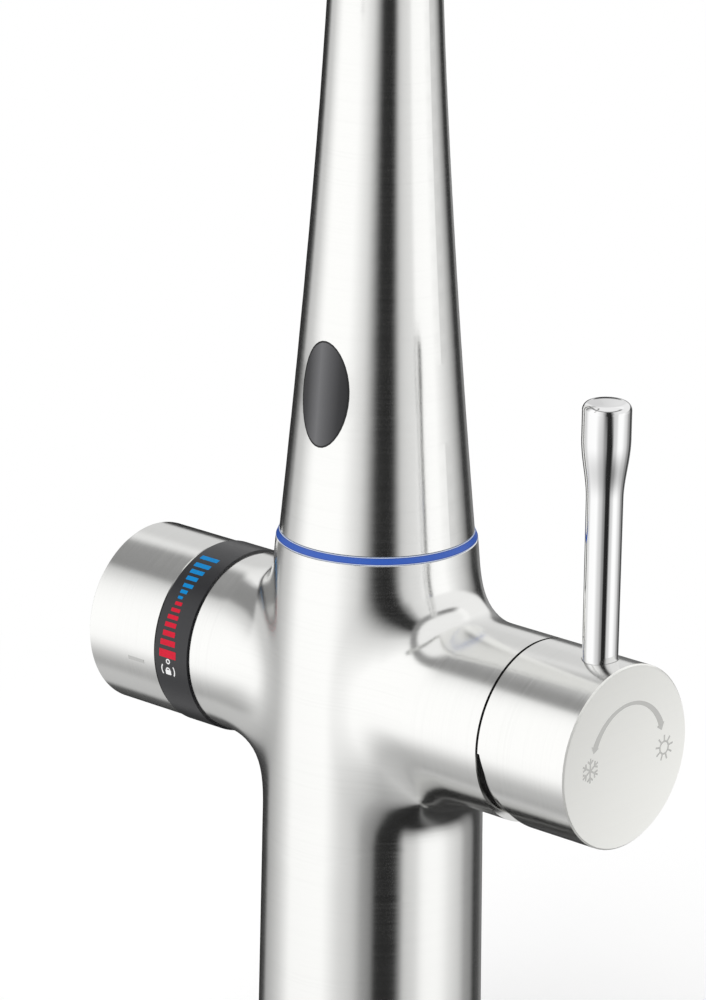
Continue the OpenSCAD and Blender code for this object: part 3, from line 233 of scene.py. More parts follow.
def tent_finish():
    """The tent round the tap with its lamps and dark flags, which only shine in the metal: each stop has
    a bearing from the camera, and the grey that the steel shows there."""
    made, shader = material("tent")
    made.cycles.emission_sampling = "NONE"
    across, deep, high = shader.parts_of(shader.place())
    turn = CAMERA_TURN
    right = across * math.cos(turn) + deep * math.sin(turn)
    ahead = across * math.sin(turn) - deep * math.cos(turn)
    around = shader.maths("ARCTAN2", right, ahead) * (0.5 / math.pi) + 0.5
    rise = shader.maths("ARCSINE", high / TENT_RADIUS) * (180 / math.pi)

    def band(*stops):
        return shader.node("ValToRGB", {"stops": [
            (bearing / 360 + 0.5, colour(grey, grey, grey)) for bearing, grey in stops]}, {"Fac": around})

    walls = band(
        (-180, 30), (-142, 50), (-134, 110), (-127, 190), (-114, 199), (-95, 242), (-88, 251), (-46, 251),
        (-38, 240), (-30, 226), (-22, 211), (-16, 184), (-10, 140), (-5, 84), (-1, 42), (15, 36), (19, 60),
        (24, 150), (28, 196), (36, 210), (48, 219), (54, 248), (80, 251), (88, 236), (95, 224), (113, 188),
        (124, 142), (134, 50), (148, 50), (157, 140), (167, 140), (180, 25))
    low_walls = band(
        (-180, 30), (-146, 60), (-138, 160), (-125, 180), (-114, 200), (-104, 224), (-94, 248), (-52, 251),
        (-46, 240), (-40, 226), (-34, 213), (-23, 200), (-17, 186), (-11, 152), (-1, 130), (3, 40), (24, 34),
        (29, 130), (33, 200), (46, 216), (53, 244), (58, 251), (72, 251), (80, 243), (87, 227), (104, 200),
        (113, 154), (126, 136), (134, 50), (150, 80), (162, 130), (180, 50))
    ground = band(
        (-180, 60), (-155, 80), (-146, 178), (-118, 186), (-108, 160), (-99, 176), (-60, 190), (-20, 160),
        (-9, 130), (-1, 42), (24, 36), (56, 40), (70, 110), (84, 60), (110, 50), (180, 60))
    ceiling = band(
        (-180, 204), (-169, 203), (-163, 222), (-152, 236), (-147, 200), (-143, 136), (-113, 132), (-106, 196),
        (-99, 213), (-92, 240), (-86, 251), (-50, 251), (-24, 214), (-10, 140), (-2, 42), (16, 38), (26, 150),
        (34, 210), (60, 232), (120, 232), (160, 232), (180, 208))
    zenith = band((-180, 215), (-163, 215), (-150, 138), (92, 128), (112, 242), (160, 242), (180, 215))
    grey = shader.blend(shader.step(rise, *CEILING_START), walls, ceiling)
    grey = shader.blend(shader.step(rise, *ZENITH_START), grey, zenith)
    grey = shader.blend(shader.step(rise, *TOP_START), grey, colour(232, 232, 232))
    grey = shader.blend(shader.step(rise, *WALLS_START), low_walls, grey)
    grey = shader.blend(shader.step(rise, *LOW_WALLS_START), ground, grey)
    shader.finish(shader.node("Emission", inputs={"Color": grey, "Strength": TENT_LIGHT}))
    return made


def floor_finish():
    """White paper that takes the tap's shadow near it, and fades into the white background."""
    made, shader = material("floor")
    across, deep, high = shader.parts_of(shader.place())
    reach = shader.maths("SQRT", across * across + deep * deep)
    paper = shader.node("BsdfDiffuse", inputs={"Color": (0.98, 0.98, 0.98, 1)})
    background = shader.node("Emission", inputs={"Color": (1, 1, 1, 1), "Strength": 1.0})
    shader.finish(shader.node("MixShader", inputs={
        0: shader.step(reach, SHADOW_NEAR, SHADOW_FAR) * shader.seen(), 1: paper, 2: background}))
    return made


def add_studio():
    world = bpy.data.worlds.new("studio")
    bpy.context.scene.world = world
    world.use_nodes = True
    shader = Shader(world.node_tree)
    shader.finish(shader.node("Background", inputs={
        "Color": (1, 1, 1, 1), "Strength": shader.seen() * (1 - SKY_LIGHT) + SKY_LIGHT}), "OutputWorld")

    mesh_tool = bmesh.new()
    bmesh.ops.create_uvsphere(mesh_tool, u_segments=96, v_segments=48, radius=TENT_RADIUS)
    tent = add_piece("tent", mesh_tool, tent_finish())
    tent.visible_camera = tent.visible_diffuse = tent.visible_shadow = tent.visible_transmission = False

    mesh_tool = bmesh.new()
    bmesh.ops.create_grid(mesh_tool, x_segments=2, y_segments=2, size=PAPER_SIZE)
    bmesh.ops.translate(mesh_tool, verts=mesh_tool.verts, vec=(0, 0, -PAPER_DROP))
    floor = add_piece("floor", mesh_tool, floor_finish())
    floor.visible_glossy = False

    for name, turn, rise, power in LAMPS:
        data = bpy.data.lights.new(name, "AREA")
        data.size = LAMP_SIZE
        data.energy = power
        lamp = bpy.data.objects.new(name, data)
        back = towards(CAMERA_TURN + math.radians(turn), math.radians(rise))
        lamp.location = back * LAMP_DISTANCE
        lamp.rotation_mode = "QUATERNION"
        lamp.rotation_quaternion = back.to_track_quat("Z", "Y")
        lamp.visible_glossy = False
        bpy.context.scene.collection.objects.link(lamp)
    bpy.context.scene.view_settings.view_transform = "Standard"


# Body: millimetres from the arms' axis
COLUMN_R, FOOT_R, FOOT_SPIGOT_R, CROWN_R = 25, 25.9, 23, 22.7
CROWN_RISE, SHOULDER_DROP, FOOT_DROP, SPIGOT_DROP, FLOOR_DROP = 34.3, 25, 107.5, 111.9, 35
SHOULDER_POWER = 2.4
COLUMN_BORE_R = 20.5
ARM_R, BLEND_R, SIDE_BLEND_R, SPREAD = 20.9, 13, 42, 3.1
MIXER_ARM_END, MIXER_BORE_R, MIXER_FLOOR = 48.45, 17.7, 17
DIAL_ARM_END, DIAL_SPIGOT_R, DIAL_SPIGOT_END, VALVE_BORE_R, VALVE_FLOOR = 38.5, 19, 48.3, 14.6, 17
CROWN_STEPS = ((20.3, 34.3), (20.3, 32.3), (17.5, 32.3), (17.5, 34.3), (15.58, 34.3), (15.58, 28.3),
               (13.08, 28.3), (13.08, 11))
CROWN_EDGE = 0.25
STOP_RISE, STOP_HOLE_R = 23.45, 2.6
INLETS, INLET_R, INLET_DEPTH = ((4, 6.93), (4, -6.93), (-8, 0)), 4.46, 12
DUCT_TURN, DUCT_REACH, DUCT_R = math.radians(60), 18.9, 1.2
STATIONS, ARC_STEPS, SHEET_ROWS = 192, 16, 10
# Stations of the blend, from the arm's level, that run to the corners of half the column's sheet
TOP_CORNER, LOW_CORNER = 22, 24


def column_radius(height):
    if height < -SHOULDER_DROP:
        return COLUMN_R + (FOOT_R - COLUMN_R) * (-SHOULDER_DROP - height) / (FOOT_DROP - SHOULDER_DROP)
    share = (height + SHOULDER_DROP) / (CROWN_RISE + SHOULDER_DROP)
    return COLUMN_R - (COLUMN_R - CROWN_R) * share ** SHOULDER_POWER


def column_lean(height):
    """How steeply the column narrows at a height, as an angle."""
    if height < -SHOULDER_DROP:
        return math.atan((FOOT_R - COLUMN_R) / (FOOT_DROP - SHOULDER_DROP))
    share = (height + SHOULDER_DROP) / (CROWN_RISE + SHOULDER_DROP)
    slope = (COLUMN_R - CROWN_R) / (CROWN_RISE + SHOULDER_DROP) * SHOULDER_POWER * share ** (SHOULDER_POWER - 1)
    return math.atan(slope)


def blend_radius(turn):
    """The ball is small over and under the arm, and grows beside it."""
    return BLEND_R + (SIDE_BLEND_R - BLEND_R) * abs(math.cos(turn)) ** SPREAD


def rolling_ball(turn):
    """The centre of the ball that rolls between arm and column, and its directions to both."""
    ball = blend_radius(turn)
    side, high = (ARM_R + ball) * math.cos(turn), (ARM_R + ball) * math.sin(turn)
    touch = high
    for _ in range(12):
        touch = high - ball * math.sin(column_lean(touch))
    wall = column_radius(touch)
    span = wall + ball * math.cos(column_lean(touch))
    out = math.sqrt(span * span - side * side)
    centre = Vector((out, side, high))
    to_arm = Vector((0, -math.cos(turn), -math.sin(turn)))
    to_column = (Vector((out * wall / span, side * wall / span, touch)) - centre).normalized()
    return centre, to_arm, to_column


def eased(share, total):
    """How far along and across a bend has come, at a share of its length: straight at both ends, and
    tightest in the middle."""
    steps = 3 * ARC_STEPS
    along, across = [0.0], [0.0]
    for k in range(steps):
        part = (k + 0.5) / steps
        heading = total * (part - math.sin(2 * math.pi * part) / (2 * math.pi))
        along.append(along[-1] + math.cos(heading))
        across.append(across[-1] + math.sin(heading))
    k = round(share * steps)
    reach = 2 * math.sin(total / 2) / math.hypot(along[-1], across[-1])
    return along[k] * reach, across[k] * reach


def sheet_edge(station):
    """The place on the border of half the column's sheet that a station of the blend belongs to: how far
    round, and how high."""
    half = math.radians(90) * COLUMN_R
    top = CROWN_RISE - CROWN_EDGE
    corners = ((-LOW_CORNER, (half, -half)), (TOP_CORNER, (half, top)),
               (STATIONS // 2 - TOP_CORNER, (-half, top)), (STATIONS // 2 + LOW_CORNER, (-half, -half)),
               (STATIONS - LOW_CORNER, (half, -half)))
    if station > STATIONS - LOW_CORNER:
        station -= STATIONS
    for (first, start), (last, end) in zip(corners, corners[1:]):
        if first <= station <= last:
            share = (station - first) / (last - first)
            return tuple(a + (b - a) * share for a, b in zip(start, end))


def stretch(tool, loop, move):
    """Extrudes a loop of edges, and moves what that makes."""
    made = bmesh.ops.extrude_edge_only(tool, edges=loop)["geom"]
    for vert in made:
        if isinstance(vert, bmesh.types.BMVert):
            move(vert)
    return [edge for edge in made if isinstance(edge, bmesh.types.BMEdge)]


def rim(tool, belongs):
    return [edge for edge in tool.edges if edge.is_boundary and all(belongs(vert.co) for vert in edge.verts)]


def to_ring(axis, radius, place):
    """Moves a point to a radius round X (0) or Z (2) and a place along it."""
    def move(vert):
        flat = vert.co.copy()
        flat[axis] = 0
        vert.co = flat.normalized() * radius
        vert.co[axis] = place
    return move


def smooth(tool, limit=40):
    """Rounded shading, with the edges sharper than the limit kept crisp."""
    for face in tool.faces:
        face.smooth = True
    for edge in tool.edges:
        edge.smooth = edge.is_manifold and edge.calc_face_angle(0) < math.radians(limit)


def to_metres(tool):
    """From millimetres round the arms' axis to metres over the worktop."""
    bmesh.ops.scale(tool, vec=(MM, MM, MM), verts=tool.verts)
    bmesh.ops.translate(tool, vec=(0, 0, ARM_HEIGHT), verts=tool.verts)


def tap_piece(name, tool, finish, body, slot, *hidden):
    piece = add_piece(name, tool, finish)
    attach(piece, body)
    if hidden:
        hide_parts(*hidden)
    return piece


def bore(piece, *holes):
    """Drills round holes: each has a start, an end and a radius."""
    tool = bmesh.new()
    for start, end, radius in holes:
        start, end = Vector(start), Vector(end)
        turned = (end - start).to_track_quat("Z", "Y").to_matrix().to_4x4()
        bmesh.ops.create_cone(tool, cap_ends=True, segments=48, radius1=radius, radius2=radius,
                              depth=(end - start).length, matrix=Matrix.Translation((start + end) / 2) @ turned)
    to_metres(tool)
    drill = add_piece("drill", tool)
    cut = piece.modifiers.new("holes", "BOOLEAN")
    cut.operation, cut.solver, cut.object = "DIFFERENCE", "EXACT", drill
    bored = bpy.data.meshes.new_from_object(piece.evaluated_get(bpy.context.evaluated_depsgraph_get()))
    piece.modifiers.clear()
    bpy.data.objects.remove(drill)
    tool = bmesh.new()
    tool.from_mesh(bored)
    smooth(tool)
    tool.to_mesh(bored)
    tool.free()
    piece.data = bored


def add_bend(tool, station, number):
    """The blend's bend at one station: its edges, and where it meets the column's sheet."""
    turn = 2 * math.pi * number / STATIONS
    ball = blend_radius(turn)
    centre, to_arm, to_column = rolling_ball(turn)
    total = to_arm.angle(to_column)
    ahead = (to_column - to_arm * math.cos(total)).normalized()
    start = bmesh.ops.create_vert(tool, co=centre + ball * to_arm)["vert"]
    before = set(tool.edges)
    bmesh.ops.spin(tool, geom=start, cent=centre, axis=to_arm.cross(to_column), dvec=(0, 0, 0),
                   angle=total, steps=ARC_STEPS, use_merge=False)
    edges = [edge for edge in tool.edges if edge not in before]
    for vert in {vert for edge in edges for vert in edge.verts}:
        vert[station] = number
        along, across = eased((vert.co - centre).angle(to_arm) / total, total)
        vert.co = centre + ball * (to_arm * (1 - across) + ahead * along)
    touch = centre + ball * to_column
    return edges, (math.atan2(touch.y, touch.x) * COLUMN_R, touch.z)


def half_column(tool):
    """The half of the column on the mixer's side, with the blend that runs out into its arm."""
    station = tool.verts.layers.int.new("station")
    bends, touches = zip(*[add_bend(tool, station, number) for number in range(STATIONS)])
    for number in range(STATIONS):
        bmesh.ops.bridge_loops(tool, edges=bends[number - 1] + bends[number])
    loop = [edge for edge in rim(tool, lambda co: True)
            if all(abs(math.hypot(vert.co.y, vert.co.z) - ARM_R) > 1e-3 for vert in edge.verts)]
    for row in range(1, SHEET_ROWS + 1):
        def on_sheet(vert):
            (from_round, from_high), (to_round, to_high) = touches[vert[station]], sheet_edge(vert[station])
            share = row / SHEET_ROWS
            around = (from_round + (to_round - from_round) * share) / COLUMN_R
            high = from_high + (to_high - from_high) * share
            outward = Vector((math.cos(around), math.sin(around), 0))
            vert.co = outward * column_radius(high) + Vector((0, 0, high))
        loop = stretch(tool, loop, on_sheet)


def add_body(finish):
    """The column and its two arms in one skin, with the blends between them rolled by a ball."""
    tool = bmesh.new()
    half_column(tool)
    bmesh.ops.mirror(tool, geom=tool.verts[:] + tool.edges[:] + tool.faces[:], axis="X", merge_dist=0.002)
    arm_rims = [rim(tool, lambda co: side * co.x > 1 and abs(math.hypot(co.y, co.z) - ARM_R) < 1e-3)
                for side in (1, -1)]
    crown = rim(tool, lambda co: co.z > CROWN_RISE - CROWN_EDGE - 1e-3)
    foot = rim(tool, lambda co: co.z < -SHOULDER_DROP - 10)
    for axis, loop, steps in (
            (0, arm_rims[0], ((ARM_R, MIXER_ARM_END), (MIXER_BORE_R, MIXER_ARM_END),
                              (MIXER_BORE_R, MIXER_FLOOR))),
            (0, arm_rims[1], ((ARM_R, -DIAL_ARM_END), (DIAL_SPIGOT_R, -DIAL_ARM_END),
                              (DIAL_SPIGOT_R, -DIAL_SPIGOT_END), (VALVE_BORE_R, -DIAL_SPIGOT_END),
                              (VALVE_BORE_R, -VALVE_FLOOR))),
            (2, crown, ((CROWN_R - CROWN_EDGE, CROWN_RISE),) + CROWN_STEPS),
            (2, foot, ((FOOT_R, -FOOT_DROP), (FOOT_SPIGOT_R, -FOOT_DROP), (FOOT_SPIGOT_R, -SPIGOT_DROP),
                       (COLUMN_BORE_R, -SPIGOT_DROP), (COLUMN_BORE_R, -FLOOR_DROP)))):
        for radius, place in steps:
            loop = stretch(tool, loop, to_ring(axis, radius, place))
        bmesh.ops.contextual_create(tool, geom=loop)
    bmesh.ops.recalc_face_normals(tool, faces=tool.faces)
    smooth(tool)
    to_metres(tool)
    piece = tap_piece("body_skin", tool, finish, "root", "brushed_steel", "body")
    holes = [((0, 12, STOP_RISE), (0, 30, STOP_RISE), STOP_HOLE_R)]
    for across, deep in INLETS:
        holes.append(((across, deep, -FLOOR_DROP - 1), (across, deep, -FLOOR_DROP + INLET_DEPTH), INLET_R))
    across, deep = DUCT_REACH * math.cos(DUCT_TURN), DUCT_REACH * math.sin(DUCT_TURN)
    holes.append(((across, deep, -FLOOR_DROP - 1), (across, deep, CROWN_RISE - 1.5), DUCT_R))
    bore(piece, *holes)


# Shank under the worktop: radius and height over the arms' axis
SHANK_PROFILE = ((13, -190), (15.1, -190), (15.6, -189.5), (15.6, -117.5), (16.5, -117), (16.5, -110.9),
                 (20.4, -110.9), (20.4, -102.9), (13, -102.9))
THREAD_R, THREAD_CORE_R, THREAD_ROOT_SHARE, THREAD_TIP = 16.5, 15.5, 0.47, 0.15
THREAD_PITCH, THREAD_START, THREAD_TURNS, THREAD_STEPS = 2, -188.5, 34, 48


def turned(tool, profile):
    """An outline of radius and height, turned round the column's axis: closed, or from axis to axis."""
    loop = [bmesh.ops.create_vert(tool, co=(radius, 0, height))["vert"][0] for radius, height in profile]
    pairs = zip(loop, loop[1:] + (loop[:1] if profile[0][0] else []))
    edges = [bmesh.ops.contextual_create(tool, geom=pair)["edges"][0] for pair in pairs]
    bmesh.ops.spin(tool, geom=loop + edges, cent=(0, 0, 0), axis=(0, 0, 1), dvec=(0, 0, 0),
                   angle=2 * math.pi, steps=96, use_merge=True)
    bmesh.ops.remove_doubles(tool, verts=tool.verts, dist=1e-5)


def add_shank(finish):
    """The threaded shank that goes through the worktop."""
    tool = bmesh.new()
    turned(tool, SHANK_PROFILE)
    root = THREAD_PITCH * THREAD_ROOT_SHARE
    corners = ((THREAD_CORE_R, -root), (THREAD_R, -THREAD_TIP), (THREAD_R, THREAD_TIP), (THREAD_CORE_R, root))
    core = len(tool.faces)
    ridge = [bmesh.ops.create_vert(tool, co=(reach, 0, THREAD_START + high))["vert"][0]
             for reach, high in corners]
    edges = [bmesh.ops.contextual_create(tool, geom=pair)["edges"][0]
             for pair in zip(ridge, ridge[1:] + ridge[:1])]
    bmesh.ops.spin(tool, geom=ridge + edges, cent=(0, 0, 0), axis=(0, 0, 1),
                   dvec=(0, 0, THREAD_PITCH / THREAD_STEPS), angle=2 * math.pi, steps=THREAD_STEPS,
                   use_merge=False)
    turn = tool.faces[:][core:]
    for k in range(1, THREAD_TURNS):
        copy = bmesh.ops.duplicate(tool, geom=turn)["geom"]
        bmesh.ops.translate(tool, verts=[part for part in copy if isinstance(part, bmesh.types.BMVert)],
                            vec=(0, 0, THREAD_PITCH * k))
    bmesh.ops.remove_doubles(tool, verts=tool.verts, dist=1e-4)
    bmesh.ops.holes_fill(tool, edges=[edge for edge in tool.edges if edge.is_boundary], sides=4)
    bmesh.ops.recalc_face_normals(tool, faces=tool.faces)
    smooth(tool, 30)
    to_metres(tool)
    tap_piece("shank_threaded", tool, finish, "root", "brass", "mounting_shank")


# Lever rod: radii, and heights over the arm's axis
PEG_R, PEG_RISE, SEAT_RISE = 2.5, 3.6, 8.1
ROD_REACH, ROD_R, WAIST_R, GRIP_R, WAIST_RISE, GRIP_RISE, ROD_TOP = 65.7, 3.95, 4.05, 5.4, 57, 71, 79
ROD_ROUND, ROD_DOME = 1.8, 0.4


def add_rod(finish):
    """The lever's rod with its swelling grip."""
    def swell(share):
        return WAIST_R + (GRIP_R - WAIST_R) * (1 - math.cos(math.pi * share)) / 2

    def shares(steps):
        return [k / steps for k in range(steps + 1)]

    profile = [(0, PEG_RISE), (PEG_R, PEG_RISE), (PEG_R, SEAT_RISE), (ROD_R, SEAT_RISE)]
    profile += [(ROD_R + (WAIST_R - ROD_R) * share, ARM_R + (WAIST_RISE - ARM_R) * share)
                for share in shares(8)[:-1]]
    profile += [(swell(share), WAIST_RISE + (GRIP_RISE - WAIST_RISE) * share) for share in shares(40)]
    for share in shares(16):
        turn = math.radians(90 * share)
        profile.append((GRIP_R - ROD_ROUND * (1 - math.cos(turn)), ROD_TOP - ROD_ROUND * (1 - math.sin(turn))))
    dome = GRIP_R - ROD_ROUND
    profile += [(dome * (1 - share), ROD_TOP + ROD_DOME * (1 - (1 - share) ** 2)) for share in shares(8)[1:]]
    tool = bmesh.new()
    turned(tool, profile)
    bmesh.ops.translate(tool, verts=tool.verts, vec=(ROD_REACH, 0, 0))
    bmesh.ops.recalc_face_normals(tool, faces=tool.faces)
    smooth(tool, 30)
    to_metres(tool)
    tap_piece("lever_rod_turned", tool, finish, "lever", "polished_chrome", "lever_rod")


# End caps and the marks on them
HUB_FACE, FACE_EDGE, FACE_DROP, EDGE_REACH = 73.6, 0.3, 0.05, 1.5
# Least share of a face's direction along the arm: on the flat end, and on its rounded edge
FLAT_SHARE, EDGE_SHARE = 0.999, 0.3
MARK_HEIGHT, SIGN_LINE = 0.06, 0.42
# How far one stroke of a sign lies over the next, so that no two faces share a plane
STROKE_LIFT, FORK_LIFT = 0.002, 0.014
BOW_SWELL_POWER = 1.6
FORK_AT_SHARE, FORK_SHARE, FORK_TURN = 0.55, 0.4, math.radians(50)
# Places on the mixer's face, to the right and up from its middle
BOW_AT, BOW_R, BOW_FROM, BOW_TO, BOW_LINE, BOW_END_LINE = (0.9, -0.2), 12.2, 157, 22.4, 0.8, 1.7
ARROW_TIPS = (((-10.35, 4.85), (-10.8, 3.6)), ((11.9, 4.6), (12.3, 3.2)))
ARROW_LINE, ARROW_END_LINE = 2.6, 0.15
SNOW_AT, SNOW_R = (-11.8, -0.1), 2.85
SUN_AT, SUN_R, SUN_REACH = (13.4, -1.2), 1.45, 2.95


def add_cap(name, node, side, body, steel, face_finish):
    """An arm's cap again, with a crisp bright edge round its matt end face."""
    tool = bmesh.new()
    tool.from_mesh(nodes[node].data)
    bmesh.ops.remove_doubles(tool, verts=tool.verts, dist=1e-6)
    end = max(side * vert.co.x for vert in tool.verts)
    flat = [face for face in tool.faces
            if side * face.normal.x > FLAT_SHARE and side * face.calc_center_median().x > end - 1e-5]
    for face in tool.faces:
        if side * face.normal.x > EDGE_SHARE and side * face.calc_center_median().x > end - EDGE_REACH * MM:
            face.material_index = 1
    face = bmesh.ops.dissolve_faces(tool, faces=flat, use_verts=True)["region"]
    bmesh.ops.inset_region(tool, faces=face, thickness=FACE_EDGE * MM, depth=-FACE_DROP * MM,
                           use_even_offset=True)
    smooth(tool, 30)
    piece = tap_piece(name, tool, steel, body, "brushed_steel", node)
    piece.data.materials.append(face_finish)


def plate(tool, start, end, width, end_width=None, corner=0.0, lift=0.0):
    """A thin flat bar between two places, which may narrow towards its end."""
    made = bmesh.ops.create_cube(tool, size=1)["verts"]
    for vert in made:
        if vert.co.x > 0 and end_width is not None:
            vert.co.y *= end_width / width
    start, end = Vector((*start, lift)), Vector((*end, lift))
    along = end - start
    bmesh.ops.transform(tool, verts=made, matrix=(
        Matrix.Translation((start + end) / 2) @ Matrix.Rotation(math.atan2(along.y, along.x), 4, "Z")
        @ Matrix.Diagonal((along.length, width, MARK_HEIGHT, 1))))
    if corner:
        upright = {edge for vert in made for edge in vert.link_edges
                   if abs(edge.verts[0].co.z - edge.verts[1].co.z) > MARK_HEIGHT / 2}
        bmesh.ops.bevel(tool, geom=list(upright), offset=corner, segments=3, profile=0.5, affect="EDGES",
                        material=-1)


def arc(tool, centre, radius, start, end, width, end_width=None, steps=32):
    """A thin flat bow between two angles, which may widen towards both ends."""
    grid = bmesh.ops.create_grid(tool, x_segments=steps, y_segments=1, size=1)["verts"]
    faces = list({face for vert in grid for face in vert.link_faces})
    for vert in grid:
        share, side = vert.co.x, vert.co.y
        turn = math.radians(start + (end - start) * (share + 1) / 2)
        wide = width + ((end_width or width) - width) * abs(share) ** BOW_SWELL_POWER
        reach = radius + side * wide / 2
        vert.co = (centre[0] + reach * math.cos(turn), centre[1] + reach * math.sin(turn), -MARK_HEIGHT / 2)
    bmesh.ops.remove_doubles(tool, verts=grid, dist=1e-4)
    bmesh.ops.recalc_face_normals(tool, faces=faces)
    bmesh.ops.solidify(tool, geom=faces, thickness=MARK_HEIGHT)


def ring(tool, centre, radius, width):
    arc(tool, centre, radius, 0, 360, width)


def spoke(centre, turn, reach):
    return centre[0] + reach * math.cos(turn), centre[1] + reach * math.sin(turn)


def snowflake(tool, centre, radius, width):
    for k in range(6):
        turn = math.radians(90 + 60 * k)
        plate(tool, centre, spoke(centre, turn, radius), width, lift=STROKE_LIFT * k)
        fork = spoke(centre, turn, radius * FORK_AT_SHARE)
        for side in (-1, 1):
            plate(tool, fork, spoke(fork, turn + side * FORK_TURN, radius * FORK_SHARE), width,
                  lift=FORK_LIFT + STROKE_LIFT * side)


def sun(tool, centre, radius, reach, width):
    ring(tool, centre, radius, width)
    for k in range(9):
        turn = math.radians(90 + 40 * k)
        plate(tool, spoke(centre, turn, radius + width / 3), spoke(centre, turn, reach), width,
              lift=STROKE_LIFT)


def on_face(co):
    return Vector((HUB_FACE - FACE_DROP + co.z, co.x, co.y))


def round_arm(radius):
    """Wraps a flat drawing round an arm: its up is the way down the front from the arm's top."""
    def wrap(co):
        turn = co.y / radius
        return Vector((co.x, -(radius + co.z) * math.sin(turn), (radius + co.z) * math.cos(turn)))
    return wrap


def add_marks(name, tool, finish, body, slot, settle):
    for vert in tool.verts:
        vert.co = settle(vert.co)
    bmesh.ops.recalc_face_normals(tool, faces=tool.faces)
    to_metres(tool)
    tap_piece(name, tool, finish, body, slot)


def add_face_marks(finish):
    """The bow with an arrow at both ends, from cold to warm, with a snowflake and a sun."""
    tool = bmesh.new()
    arc(tool, BOW_AT, BOW_R, BOW_FROM, BOW_TO, BOW_LINE, BOW_END_LINE, 48)
    for start, end in ARROW_TIPS:
        plate(tool, start, end, ARROW_LINE, ARROW_END_LINE, lift=STROKE_LIFT)
    snowflake(tool, SNOW_AT, SNOW_R, SIGN_LINE)
    sun(tool, SUN_AT, SUN_R, SUN_REACH, SIGN_LINE)
    add_marks("hub_marks", tool, finish, "lever", "brushed_steel", on_face)


# Scale on the boiling water arm: where each bar begins and ends along the arm, its angle from the arm's
# top towards the front, and its height
BAND_R, KNOB_R = 21.4, 21.1
COLD_BARS = ((-47.2, -41.8, 21, 1.25), (-46.9, -42.1, 28, 1.25), (-46.5, -42.4, 33.6, 1.15),
             (-46.2, -42.8, 38.9, 1.1), (-45.8, -42.8, 44.3, 1.0), (-45.6, -43.5, 48.7, 0.9),
             (-45.45, -44.0, 52.8, 0.7))
WARM_BARS = ((-45.5, -43.4, 56.8, 0.85), (-45.9, -43.2, 61.2, 0.85), (-46.3, -43.05, 65.8, 1.0),
             (-46.5, -43.0, 70.7, 1.1), (-46.6, -42.8, 76.2, 1.25), (-47.0, -42.4, 82, 1.35),
             (-47.2, -42.0, 89, 1.9))
BAR_CORNER = 0.12
RING_AT, LOCK_AT, POINTER_AT = (-44.45, 93.8), (-44.6, 99.8), (-55.2, 99.8)
RING_R, RING_LINE, POINTER_HALF, POINTER_LINE = 0.5, 0.3, 2.5, 0.95
# Lock sign, from its middle, with a bow of so many degrees each way on both sides
LOCK_HALF, LOCK_DROP, LOCK_H, LOCK_CORNER = 0.85, 0.5, 1.2, 0.2
SHACKLE_LIFT, SHACKLE_R, SHACKLE_LINE = 0.05, 0.55, 0.3
LOCK_BOW_R, LOCK_BOW_LINE, LOCK_BOW_SPAN = 2.0, 0.32, 35


def round_at(turn, radius):
    return math.radians(turn) * radius


def add_scale(cold, warm, white):
    """Bars that grow towards cold and hot, and a lock sign for the closed place."""
    for name, bars, finish in (("scale_cold", COLD_BARS, cold), ("scale_warm", WARM_BARS, warm)):
        tool = bmesh.new()
        for start, end, turn, height in bars:
            level = round_at(turn, BAND_R)
            plate(tool, (start, level), (end, level), height, corner=BAR_CORNER)
        add_marks(name, tool, finish, "root", "scale_black", round_arm(BAND_R))
    tool = bmesh.new()
    ring(tool, (RING_AT[0], round_at(RING_AT[1], BAND_R)), RING_R, RING_LINE)
    across, level = LOCK_AT[0], round_at(LOCK_AT[1], BAND_R)
    plate(tool, (across - LOCK_HALF, level + LOCK_DROP), (across + LOCK_HALF, level + LOCK_DROP), LOCK_H,
          corner=LOCK_CORNER)
    arc(tool, (across, level - SHACKLE_LIFT), SHACKLE_R, 180, 360, SHACKLE_LINE)
    for middle in (180, 0):
        arc(tool, (across, level), LOCK_BOW_R, middle - LOCK_BOW_SPAN, middle + LOCK_BOW_SPAN, LOCK_BOW_LINE)
    add_marks("scale_lock", tool, white, "root", "scale_black", round_arm(BAND_R))


def add_pointer(finish):
    """The faint bar on the dial that points at the scale."""
    tool = bmesh.new()
    level = round_at(POINTER_AT[1], KNOB_R)
    plate(tool, (POINTER_AT[0] - POINTER_HALF, level), (POINTER_AT[0] + POINTER_HALF, level), POINTER_LINE)
    add_marks("dial_pointer", tool, finish, "dial", "brushed_steel", round_arm(KNOB_R))


# Finishes: grains of a brushed line in a metre, across it and along it. Then, in metres, where the body's
# lines turn from the column's way round to the arms', and how deep the grain is
FINE_LINES, BROAD_LINES = (2200, 16), (420, 9)
ARM_LINES_START, ARM_LINES_END = 0.022, 0.034
GRAIN_DEPTH = 0.00002
LENS_WIDTH = 0.013
# Light ring: heights of its lower and upper edge, and how wide its painted shade border and its painted
# highlight border are
RING_LOW, RING_HIGH, RING_SHADE_BORDER, RING_HIGHLIGHT_BORDER = 0.1494, 0.1508, 0.0003, 0.00005


